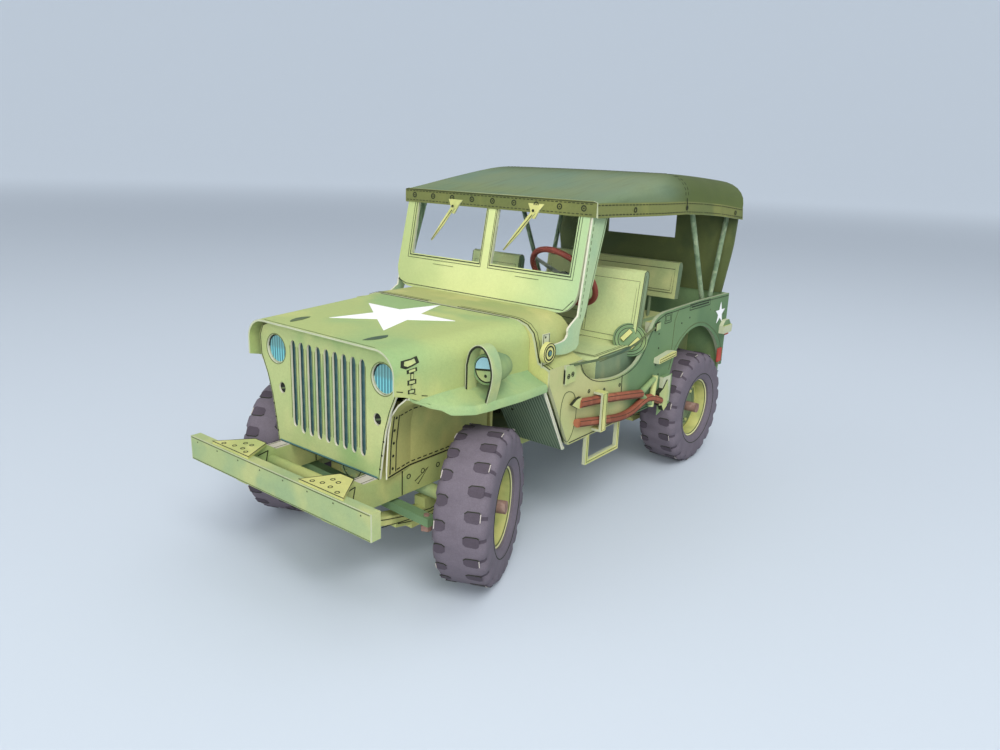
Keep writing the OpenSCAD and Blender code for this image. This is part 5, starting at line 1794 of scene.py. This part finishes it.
        # pale block on its post behind the filler cap
        rest.block((24.2, 57.2, 35.4), (26.0, 60.4, 39.2), 0, 1)
        rest.block((24.8, 58.2, 30.6), (25.6, 59.4, 35.4), 3, 3)
        rest.make("side_fitting_card", "car", ["yellow", "soft_cut", "ink", "green"],
            ["side_fittings"])
        finish_node("tail_lamps", "red")
        return {"FINISHED"}


class CARD_OT_rear(bpy.types.Operator):
    """Spare wheel and fuel can on the rear panel"""

    bl_idname = "card_car.rear"
    bl_label = "Rear load"

    def execute(self, context):
        s = setting()
        low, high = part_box("spare_wheel")
        centre = (Vector(low) + Vector(high)) / 2
        form = Form()
        tyre_form(form, centre, (0, 1, 0), s.lug_count, s.lug_depth)
        form.make("spare_tyre_card", "car", ["tyre", "lug", "ink", "raw_and_glint"], ["spare_wheel"])
        rim = Form()
        rim_form(rim, centre, Vector((0, 1, 0)), True)
        rim.turn([(-4.85, 0.05), (-4.85, 1.5), (2.4, 1.5), (2.6, 1.2), (2.6, 0.05)], centre, (0, 1, 0), 24, 1)
        rim.make("spare_rim_card", "car", [ring_paint("spare_rim_print", centre, (0, 1, 0)), "yellow"], ())

        can = Form()
        low, high = (8.0, REAR + 0.05, 24.4), (22.0, REAR + 7.0, 41.0)
        cx, cz, w, h = 15.0, 32.6, 7.0, 8.2
        ring = []
        for ax, az, a0 in ((cx + w - 1.4, cz - h + 1.4, -90), (cx + w - 1.4, cz + h - 1.4, 0),
                (cx - w + 1.4, cz + h - 1.4, 90), (cx - w + 1.4, cz - h + 1.4, 180)):
            ring += arc(ax, az, 1.4, a0, a0 + 90, 4)
        can.prism([at(a, low[1] + 0.3, b) for a, b in ring], shift(0, 6.3), 0, 1)
        y = low[1] + 6.62
        for inset in (1.4, 2.0):
            inner = [(cx + (a - cx) * (1 - inset / w), cz + (b - cz) * (1 - inset / h)) for a, b in ring]
            can.line(head_on(y, inner), (0, 1, 0), 0.2, 2, True)
        can.line([at(cx - 4.6, y, cz - 5.8), at(cx + 4.6, y, cz + 5.8)], (0, 1, 0), 0.3, 2)
        can.line([at(cx - 4.6, y, cz + 5.8), at(cx + 4.6, y, cz - 5.8)], (0, 1, 0), 0.3, 2)
        for k in (-1, 0, 1):
            yy = low[1] + 3.4 + k * 1.9
            can.tube([at(11.4, yy, 40.6), at(11.9, yy, 42.0), at(16.8, yy, 42.0), at(17.3, yy, 40.6)], 0.42, 8, 1)
        can.tube([at(20.0, low[1] + 3.4, 40.4), at(20.6, low[1] + 3.4, 42.2)], 1.1, 14, 1)
        can.block((7.0, REAR + 0.02, 23.6), (23.0, REAR + 7.8, 24.4), 1, 3)
        for x in (7.0, 22.2):
            can.block((x, REAR + 0.02, 24.4), (x + 0.8, REAR + 7.8, 27.4), 1, 3)
        can.block((7.8, REAR + 7.1, 24.4), (22.2, REAR + 7.8, 27.4), 1, 3)
        can.block((13.6, REAR + 6.75, 27.4), (16.4, REAR + 7.1, 41.0), 3, 3)
        can.make("fuel_can_card", "car", ["green", "dark", "ink", "cut"], ["fuel_can"])
        return {"FINISHED"}


# ---------------------------------------------------------------- add-on


class CARD_PT_car(bpy.types.Panel):
    """Lists the pieces of the model"""

    bl_idname = "CARD_PT_car"
    bl_label = "Card car"
    bl_space_type = "VIEW_3D"
    bl_region_type = "UI"
    bl_category = "Card car"

    def draw(self, context):
        for step in STEPS:
            self.layout.operator(step.bl_idname)
        for name in ("lug_count", "lug_depth", "star_radius", "sheet_steps"):
            self.layout.prop(context.scene.card_car, name)
        for name in ("floor_colour", "key_power", "lens"):
            self.layout.prop(context.scene.card_stage, name)


STEPS = (
    CARD_OT_stage, CARD_OT_tyres, CARD_OT_rims, CARD_OT_running_gear, CARD_OT_chassis,
    CARD_OT_grille, CARD_OT_bonnet,
    CARD_OT_wings, CARD_OT_scuttle, CARD_OT_windscreen, CARD_OT_body, CARD_OT_canvas, CARD_OT_seats,
    CARD_OT_controls,
    CARD_OT_fittings, CARD_OT_rear)
CLASSES = (CARD_PG_car, CARD_PG_stage) + STEPS + (CARD_PT_car,)


def register():
    for entry in CLASSES:
        bpy.utils.register_class(entry)
    bpy.types.Scene.card_car = bpy.props.PointerProperty(type=CARD_PG_car)
    bpy.types.Scene.card_stage = bpy.props.PointerProperty(type=CARD_PG_stage)


def unregister():
    del bpy.types.Scene.card_stage
    del bpy.types.Scene.card_car
    for entry in reversed(CLASSES):
        bpy.utils.unregister_class(entry)


def main():
    """Builds every piece in order."""
    register()
    for step in STEPS:
        group, name = step.bl_idname.split(".")
        getattr(getattr(bpy.ops, group), name)()
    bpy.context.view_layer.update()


if __name__ == "__main__":
    main()
